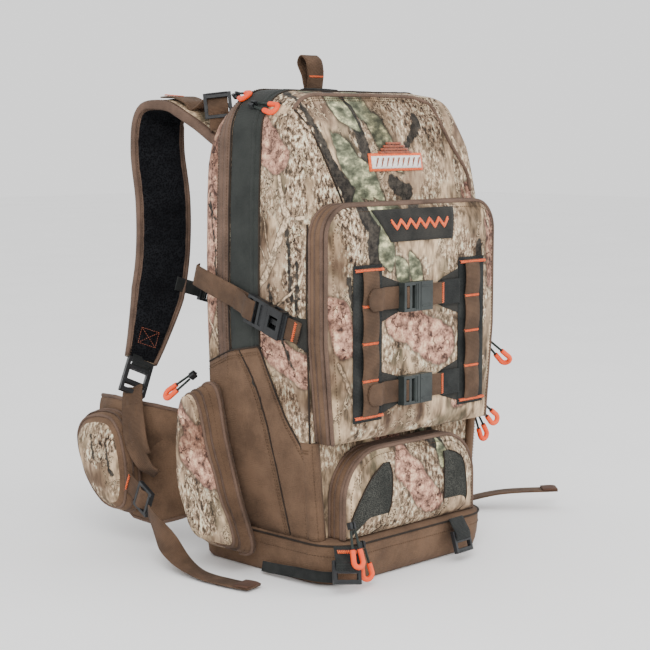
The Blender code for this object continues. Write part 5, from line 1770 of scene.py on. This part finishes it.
def make_shoulder_straps():
    for side, word in SIDES:
        body = "strap_" + word
        line = strap_frames(side)
        count = len(line)
        around = 36
        bm = bmesh.new()
        rings = []
        for i, (point, tangent, across, inward, width) in enumerate(line):
            ends = min(1.0, 0.45 + 0.2 * min(i, count - 1 - i))
            ring = []
            for k in range(around):
                turn = math.tau * k / around
                u = math.copysign(abs(math.cos(turn)) ** 0.5, math.cos(turn))
                v = math.copysign(abs(math.sin(turn)) ** 0.8, math.sin(turn))
                run = i * 0.004
                crease = 0.0
                if v > 0 and abs(u) < 0.86:
                    crease = 0.0042 * math.exp(-(((run % 0.03) - 0.015) / 0.0035) ** 2) * (1 - u * u)
                swell = ruffle(point + across * u * 0.03, 24.0, 0.001) * (1 if abs(v) > 0.2 else 0)
                ring.append(point + across * u * (width / 2 - 0.0006)
                            + inward * (v * (0.0075 * ends + swell) - (crease if v > 0 else 0.0)))
            rings.append(ring)
        loops = add_loops(bm, rings)
        for i, (first, second) in enumerate(zip(loops, loops[1:])):
            for k in range(around):
                turn = math.tau * (k + 0.5) / around
                u = math.copysign(abs(math.cos(turn)) ** 0.5, math.cos(turn))
                face = bm.faces.get((first[k], first[(k + 1) % around], second[(k + 1) % around], second[k]))
                if abs(u) > 0.84:
                    face.material_index = 2
                elif math.sin(turn) > 0:
                    face.material_index = 1
                elif i > count * 0.88:
                    face.material_index = 3
        pad = piece("strap_pad_" + word, bm, ["camo_side", "spacer", "binding", "shade_cloth"], body,
                    ["shoulder_strap_" + word])
        # binding tape wrapped over both edges, stitched
        bm = bmesh.new()
        for sign in (-1, 1):
            edge = [p + a * sign * (w / 2 - 0.0022) for p, t, a, n, w in line]
            rings = []
            for (p, t, a, n, w), middle in zip(line, edge):
                ring = []
                for k in range(12):
                    turn = math.tau * k / 12
                    ring.append(middle + a * sign * 0.003 * math.cos(turn) + n * 0.0062 * math.sin(turn))
                rings.append(ring)
            add_loops(bm, rings)
            for face_side in (-1, 1):
                stitch = [p + a * sign * (w / 2 - 0.005) + n * face_side * 0.006 for p, t, a, n, w in line]
                add_stitches(bm, stitch, [n * face_side for p, t, a, n, w in line], index=1)
        piece("strap_binding_" + word, bm, ["binding", "thread_tan"], body)
        # webbing sewn down the outer face
        sewn = line[14:int(count * 0.9)]
        path = [p - n * 0.0082 for p, t, a, n, w in sewn]
        ribbon("strap_daisy_" + word, path, [a for p, t, a, n, w in sewn], 0.02, "brown_web", body,
               thick=0.0014)
        bm = bmesh.new()
        for i in range(22, int(count * 0.88), 12):
            p, t, a, n, w = line[i]
            add_bartack(bm, frame_matrix(p - n * 0.0088, a, -n), 0.019, 0.0024, 0.0009)
        piece("strap_bartacks_" + word, bm, "orange_thread", body)
        # cross stitching on the foot
        p, t, a, n, w = line[int(count * 0.93)]
        for face_side in (-1, 1):
            bm = bmesh.new()
            corners = [p + t * dx + a * dy + n * face_side * 0.0074 for dx, dy in
                       ((-0.01, -0.011), (0.01, -0.011), (0.01, 0.011), (-0.01, 0.011))]
            for q, r in ((0, 1), (1, 2), (2, 3), (3, 0), (0, 2), (1, 3)):
                add_stitches(bm, [corners[q], corners[q].lerp(corners[r], 0.5), corners[r]], n * face_side,
                             pitch=0.0028)
            piece("strap_cross_" + word + ("_out" if face_side < 0 else "_in"), bm, "rust_thread", body)
        # link, and two legs of webbing below it
        foot = Vector(line[-1][0])
        down = (line[-1][0] - line[-4][0]).normalized()
        link = frame_matrix(foot + down * 0.0009, down, Vector((side * 0.4, -0.9, 0.0)))
        moulded("strap_buckle_" + word, [(0.0, 0.044, -0.0165, 0.0165, -0.004, 0.004),
                                         (0.0295, 0.0315, -0.015, 0.015, 0.004, 0.0048)],
                [(0.004, 0.01, -0.0125, 0.0125, -0.005, 0.005),
                 (0.014, 0.028, -0.0115, 0.0115, -0.005, 0.005),
                 (0.033, 0.039, -0.0125, 0.0125, -0.005, 0.005)], link, body, ["strap_link_" + word])
        path = threaded(link, ((-0.006, -0.001), (0.002, 0.0034), (0.007, 0.0062), (0.01, 0.003),
                               (0.0115, -0.002)), 4)
        ribbon("strap_foot_web_" + word, path, across_of(link), 0.024, "black_web", body, thick=0.0016)
        end = foot + down * 0.0485
        hanging = [(-0.18, 0.186, 0.158), (-0.183, 0.176, 0.13), (-0.178, 0.162, 0.106), STRAP_FOOT_ANCHOR]
        web = smooth_path([end - down * 0.012, end] + [mirrored(p, -side) for p in hanging], 6)
        across = Vector((0.2, side * 0.98, 0.0))
        ribbon("strap_leg_" + word, web, across, WEB, "brown_web", body, ["strap_webbing_" + word])
        slack = []
        for i, point in enumerate(web):
            share = i / (len(web) - 1)
            slack.append(point + Vector((-side * 0.2, -0.9, 0.1)) * 0.01 * math.sin(math.pi * share))
        ribbon("strap_leg_slack_" + word, slack[:int(len(slack) * 0.72)], across, WEB, "brown_web", body)


def make_load_lifters():
    for side, word in SIDES:
        origin = mirrored((-0.091, 0.1215, 0.516), -side)
        place = frame_matrix(origin, Vector((0.0, 0.15, 1.0)), Vector((side * 0.7, -0.7, 0.0)))
        moulded("lifter_lock_" + word, LOCK_BODY, LOCK_SLOTS, place, "pack", ["load_lifter_" + word])
        across = across_of(place)
        path = threaded(place, ((-0.014, 0.0024), (-0.006, 0.0026), (0.002, 0.003), (0.008, 0.006),
                                (0.0135, 0.0066), (0.02, 0.002), (0.0265, -0.0016)))
        ribbon("lifter_web_" + word, path, across, 0.024, "brown_web", "pack", thick=0.0015)
        # brown tab from the lock over the top of the strap
        line = strap_frames(side)
        reach = [place @ Vector((0.0265, 0.0, -0.002))]
        for i in (14, 18, 22, 26):
            p, t, a, n, w = line[i]
            reach.append(p - n * 0.0112 + Vector((side * 0.006, 0, 0)))
        tab = smooth_path(reach, 8)
        widths = [0.024 + 0.016 * min(1.0, i / (len(tab) * 0.6)) for i in range(len(tab))]
        bm = bmesh.new()
        level = Vector((-side if across.x * side < 0 else side, 0.0, 0.0))
        turn = [across.lerp(level, min(1.0, i / (len(tab) * 0.5))) for i in range(len(tab))]
        add_ribbon(bm, tab, turn, widths, 0.0018)
        obj = piece("lifter_tab_" + word, bm, "brown_web", "pack")
        obj.parent = None
        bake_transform(obj)
        p, t, a, n, w = line[25]
        tack = frame_matrix(p - n * 0.0124 + Vector((side * 0.006, 0, 0)), a, -n)
        bartack("lifter_bartack_" + word, tack, 0.034, "strap_" + word, width=0.003)


def make_sternum_strap():
    """Plug on the left strap and socket on the right, each on its own webbing."""
    plug = ((0.0165, 0.034, -0.012, 0.012, -0.003, 0.003), (0.034, 0.047, -0.01, -0.007, -0.0018, 0.0018),
            (0.034, 0.047, 0.007, 0.01, -0.0018, 0.0018), (0.034, 0.05, -0.0018, 0.0018, -0.0018, 0.0018))
    plug_slots = ((0.0205, 0.024, -0.009, 0.009, -0.004, 0.004),
                  (0.027, 0.031, -0.009, 0.009, -0.004, 0.004))
    socket = ((0.0165, 0.044, -0.012, 0.012, -0.004, 0.004),)
    socket_slots = ((0.03, 0.045, -0.0105, 0.0105, -0.0024, 0.0024),
                    (0.019, 0.0225, -0.009, 0.009, -0.005, 0.005))
    for side, word in SIDES:
        body = "strap_" + word
        inner = mirrored((-0.0735, 0.2005, 0.309), -side)
        place = frame_matrix(inner, Vector((-side, -0.1, -0.3)), Vector((0.0, -1.0, 0.0)))
        boxes, slots = (plug, plug_slots) if side < 0 else (socket, socket_slots)
        moulded("sternum_body_" + word, boxes, slots, place, body, ["sternum_clip_" + word], bevel=0.0006)
        path = threaded(place, ((-0.022, 0.003), (-0.01, 0.0012), (0.0, 0.0006), (0.01, 0.0004),
                                (0.018, 0.001), (0.0225, 0.0036)))
        ribbon("sternum_web_" + word, path, across_of(place), 0.017, "black_web", body, thick=0.0016)


# ---------------------------------------------------------------- hip belt

WING_PLAN = ((-0.112, 0.128), (-0.136, 0.142), (-0.154, 0.17), (-0.161, 0.205), (-0.16, 0.242),
             (-0.152, 0.276))
WING_TOP = (0.16, 0.168, 0.174, 0.176, 0.177, 0.174)
WING_FOOT = (0.05, 0.04, 0.03, 0.034, 0.058, 0.086)


def wing_stations():
    """Plan points of the left wing with their outward direction, top and foot."""
    plan = resample(smooth_path([(x, y, i / 5.0) for i, (x, y) in enumerate(WING_PLAN)], 8), 0.0038)
    result = []
    for i, p in enumerate(plan):
        ahead = chord(plan, i)
        normal = Vector((-ahead.y, ahead.x, 0.0)).normalized()
        place = max(0.0, min(1.0, p.z)) * 5
        k = min(4, int(place))
        share = place - k
        top = WING_TOP[k] + (WING_TOP[k + 1] - WING_TOP[k]) * share
        foot = WING_FOOT[k] + (WING_FOOT[k + 1] - WING_FOOT[k]) * share
        result.append((p.x, p.y, normal, top, foot))
    return result


def make_belt_wings():
    for side, word in SIDES:
        body = "belt_" + word
        stations = wing_stations()
        count = len(stations)
        rows = 22
        rings = []
        for i, (x, y, normal, top, foot) in enumerate(stations):
            thin = min(1.0, 0.5 + 0.25 * min(i, count - 1 - i))
            ring = []
            for sign, order in ((1, range(rows + 1)), (-1, range(rows, -1, -1))):
                for j in order:
                    share = j / rows
                    z = foot + (top - foot) * share
                    body_half = 0.0052 * thin * (1 - abs(2 * share - 1) ** 5) ** 0.6 + 0.0006
                    groove = 0.0022 * math.exp(-((share - 0.72) / 0.035) ** 2)
                    groove += 0.0016 * math.exp(-((share - 0.28) / 0.035) ** 2)
                    depth = max(0.0008, body_half - groove * thin + ruffle((x, y, z), 26.0, 0.0008))
                    point = (x + normal.x * depth * sign, y + normal.y * depth * sign, z)
                    ring.append(mirrored(point, -side))
            rings.append(ring)
        bm = bmesh.new()
        add_loops(bm, rings)
        wing = piece("wing_pad_" + word, bm, "brown_cloth", body, ["belt_wing_" + word], merge=0.00001)
        bm = bmesh.new()
        rim = [mirrored((x, y, top + 0.0002), -side) for x, y, n, top, foot in stations]
        low = [mirrored((x, y, foot - 0.0002), -side) for x, y, n, top, foot in stations]
        add_tube(bm, rim, 0.0026, 10)
        add_tube(bm, low, 0.0026, 10)
        piece("wing_binding_" + word, bm, "binding", body)
        # webbing sewn along the wing
        belt = [mirrored((x - 0.0072 * abs(n.x), y - 0.0072 * n.y, 0.132), -side)
                for x, y, n, top, foot in stations[6:]]
        ribbon("wing_web_" + word, belt, (0.0, 0.0, 1.0), WEB, "brown_web", body, thick=0.0016)

        make_belt_pouch(side, word, body)
        make_waist_clip(side, word, body)


def make_belt_pouch(side, word, body):
    """Zipped pouch on the outside of a wing."""
    base = ((0.188, 0.05), (0.23, 0.044), (0.268, 0.074), (0.288, 0.126), (0.268, 0.156), (0.214, 0.16),
            (0.186, 0.116))
    face = ((0.2, 0.066), (0.23, 0.062), (0.258, 0.088), (0.27, 0.122), (0.254, 0.142), (0.216, 0.144),
            (0.2, 0.114))
    levels = ((0.1668, 0.0), (0.17, 0.02), (0.178, 0.1), (0.186, 0.35), (0.192, 0.75), (0.195, 1.0),
              (0.196, 1.08))

    def zip_side(p):
        return p.z > 0.116 or p.y < 0.205

    rings = pouch("belt_pouch_body_" + word, base, face, levels, side, 0.0025, ["camo_side", "brown_cloth"],
                  zip_side, body, ["belt_pouch_" + word], wrinkle=0.0012)
    bm = bmesh.new()
    rim = [p + Vector((side * 0.0004, 0.0, 0.0006)) for p in rings[3]]
    add_tube(bm, resample(rim, 0.003), 0.0017, 10, closed=True)
    coil = [p + Vector((0.0, -0.0002, 0.0008)) for p in loop_part(rings[2], zip_side)]
    add_tube(bm, resample(coil, 0.0009), 0.0014, 8, index=1, ripple=COIL_RIPPLE)
    add_tube(bm, resample(rings[1], 0.003), 0.0019, 10, closed=True)
    piece("belt_pouch_zip_" + word, bm, ["binding", "zip_coil"], body)


def make_waist_clip(side, word, body):
    """Waist clip on its webbing: a plug on the left wing, a socket on the right."""
    plug = ((0.034, 0.056, -0.024, 0.024, -0.004, 0.004), (0.056, 0.084, -0.02, -0.015, -0.0022, 0.0022),
            (0.056, 0.084, 0.015, 0.02, -0.0022, 0.0022), (0.056, 0.088, -0.004, 0.004, -0.0022, 0.0022))
    plug_slots = ((0.04, 0.048, -0.019, 0.019, -0.005, 0.005),)
    socket = ((0.034, 0.082, -0.025, 0.025, -0.0055, 0.0055),)
    socket_slots = ((0.05, 0.083, -0.0215, 0.0215, -0.0032, 0.0032),
                    (0.056, 0.07, -0.01, 0.01, 0.003, 0.006), (0.0375, 0.043, -0.02, 0.02, -0.006, 0.006))
    tip = mirrored((-0.149, 0.2835, 0.13), -side)
    place = frame_matrix(tip, Vector((-side * 0.8, 0.3, 0.0)), Vector((side * 0.3, 0.8, 0.0)))
    boxes, slots = (plug, plug_slots) if side < 0 else (socket, socket_slots)
    moulded("waist_clip_body_" + word, boxes, slots, place, body, ["waist_clip_" + word], bevel=0.001)
    path = threaded(place, ((-0.02, -0.001), (-0.008, 0.0004), (0.006, 0.0006), (0.02, 0.0002),
                            (0.034, 0.001), (0.0415, 0.0052), (0.0445, 0.005)))
    ribbon("waist_web_" + word, path, across_of(place), 0.038, "brown_web", body)


TAILS = {
    "left": ((-0.196, 0.134, 0.058), (-0.2, 0.104, 0.036), (-0.205, 0.066, 0.014), (-0.205, 0.03, 0.004),
             (-0.202, -0.012, 0.003), (-0.196, -0.048, 0.0035)),
    "right": ((0.196, 0.134, 0.058), (0.206, 0.11, 0.034), (0.222, 0.082, 0.012), (0.244, 0.056, 0.005),
              (0.3, 0.006, 0.02), (0.356, -0.048, 0.024)),
}


def make_stabilisers():
    for side, word in SIDES:
        body = "belt_" + word
        origin = mirrored((-0.184, 0.166, 0.074), -side)
        place = frame_matrix(origin, Vector((side * 0.1, -0.82, -0.36)), Vector((side, 0.0, 0.0)))
        moulded("tail_lock_" + word, LOCK_BODY, LOCK_SLOTS, place, body, ["stabiliser_lock_" + word])
        across = across_of(place)
        path = threaded(place, ((-0.04, 0.006), (-0.026, 0.004), (-0.012, 0.0028), (0.002, 0.003),
                                (0.008, 0.0062), (0.0135, 0.0066), (0.02, 0.002), (0.026, -0.0006)))
        ribbon("tail_web_" + word, path, across, 0.024, "brown_web", body, thick=0.0016)
        tack = frame_matrix(place @ Vector((-0.02, 0.0, 0.0052)), across,
                            place.to_3x3() @ Vector((0.0, 0.0, 1.0)))
        bartack("tail_bartack_" + word, tack, 0.022, body, width=0.003)
        path = resample(smooth_path(TAILS[word], 8), 0.004)
        count = len(path)
        first = Vector((side * 0.2, 0.3, 1.0)) if word == "left" else Vector((0.35, 0.45, 0.9))
        flat = Vector((0.9, 0.35, 0.0)) if word == "left" else Vector((0.65, 0.72, 0.0))
        turn = [first.lerp(flat, min(1.0, i / (count * 0.55))) for i in range(count)]
        ribbon("tail_" + word, path, turn, WEB, "brown_web", body, ["stabiliser_tail_" + word])
        fold = [path[i] + Vector((0, 0, rise)) for i, rise in ((-6, 0.002), (-4, 0.0024), (-2, 0.0022),
                                                               (-1, 0.0014))]
        ribbon("tail_fold_" + word, smooth_path(fold, 4), flat, WEB + 0.0005, "tail_end", body, thick=0.0022)


def make_lash_points():
    spots = {"left": ((-0.126, -0.1195, 0.044), (-0.25, -0.3, -1.0), (-0.45, -1.0, 0.0)),
             "right": ((0.062, -0.1195, 0.044), (0.0, -0.3, -1.0), (0.1, -1.0, 0.0))}
    for word, (origin, along, normal) in spots.items():
        place = frame_matrix(origin, Vector(along), Vector(normal))
        moulded("lash_frame_" + word, [(0.01, 0.036, -0.0165, 0.0165, 0.0, 0.005),
                                       (0.0345, 0.036, -0.012, 0.012, 0.005, 0.0068)],
                [(0.0135, 0.0195, -0.0125, 0.0125, -0.001, 0.006),
                 (0.024, 0.031, -0.0125, 0.0125, -0.001, 0.006)], place, "pack", ["lash_lock_" + word])
        across = across_of(place)
        path = threaded(place, ((-0.005, 0.0004), (-0.002, 0.0018), (0.003, 0.0032), (0.01, 0.0056),
                                (0.015, 0.0066), (0.0205, 0.005), (0.0222, 0.001)))
        ribbon("lash_tab_" + word, path, across, 0.028, "black_web", "pack", thick=0.0022)
        if word == "left":
            tack = frame_matrix(place @ Vector((0.001, 0.0, 0.0048)), across,
                                place.to_3x3() @ Vector((0.15, 0.0, 1.0)))
            bartack("lash_bartack_left", tack, 0.023, "pack", width=0.0036)
    # dark webbing from the left lock back along the foot of the flank
    path = smooth_path([(-0.13, -0.112, 0.014), (-0.1395, -0.092, 0.013), (-0.1425, -0.06, 0.012),
                        (-0.1435, -0.03, 0.01), (-0.144, -0.006, 0.009)], 8)
    ribbon("lash_web_left", path, (0.25, 0.0, 1.0), 0.012, "black_web", "pack", thick=0.0016)


# ---------------------------------------------------------------- stage

def area_light(name, location, target, size, energy):
    data = bpy.data.lights.new(name, "AREA")
    data.size = size
    data.energy = energy
    light = bpy.data.objects.new(name, data)
    light.location = location
    aim = Vector(target) - Vector(location)
    light.rotation_euler = aim.to_track_quat("-Z", "Y").to_euler()
    bpy.context.scene.collection.objects.link(light)


def make_stage():
    bm = bmesh.new()
    corners = [bm.verts.new((x, y, -0.0004)) for x, y in ((-9, -9), (9, -9), (9, 9), (-9, 9))]
    bm.faces.new(corners)
    mesh = bpy.data.meshes.new("floor")
    bm.to_mesh(mesh)
    bm.free()
    floor = bpy.data.objects.new("floor", mesh)
    graph = Graph("floor_paint", roughness=0.9, specular=0.1)
    tone = graph.noise(graph.place, 3.0, 2.0)
    graph.paint(graph.ramp(tone, (0.3, (0.94, 0.94, 0.94, 1.0)), (0.7, (0.97, 0.97, 0.97, 1.0))))
    mesh.materials.append(graph.material)
    bpy.context.scene.collection.objects.link(floor)
    world = bpy.data.worlds.new("studio")
    world.use_nodes = True
    world.node_tree.nodes["Background"].inputs[0].default_value = (1.0, 1.0, 1.0, 1.0)
    world.node_tree.nodes["Background"].inputs[1].default_value = 1.35
    bpy.context.scene.world = world
    area_light("key", (-1.7, -1.6, 1.9), (0.0, 0.0, 0.25), 1.4, 48)
    area_light("fill", (1.4, -1.9, 1.1), (0.0, 0.0, 0.25), 1.6, 20)


def dress_cad():
    """Finish of the one solid that stays in sight."""
    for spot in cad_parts["frame_sheet"].material_slots:
        spot.material = MATERIALS["sheet_plastic"]


def main():
    make_materials()
    make_camera()
    make_pulls()
    make_extra_pulls()
    make_skin()
    make_skin_trim()
    make_base()
    make_back()
    make_flanks()
    make_side_pockets()
    make_front_pockets()
    make_corner_strips()
    make_patches()
    make_ladders()
    make_accessory_straps()
    make_haul_loop()
    make_compression_straps()
    make_shoulder_straps()
    make_load_lifters()
    make_sternum_strap()
    make_belt_wings()
    make_stabilisers()
    make_lash_points()
    dress_cad()
    make_stage()


main()
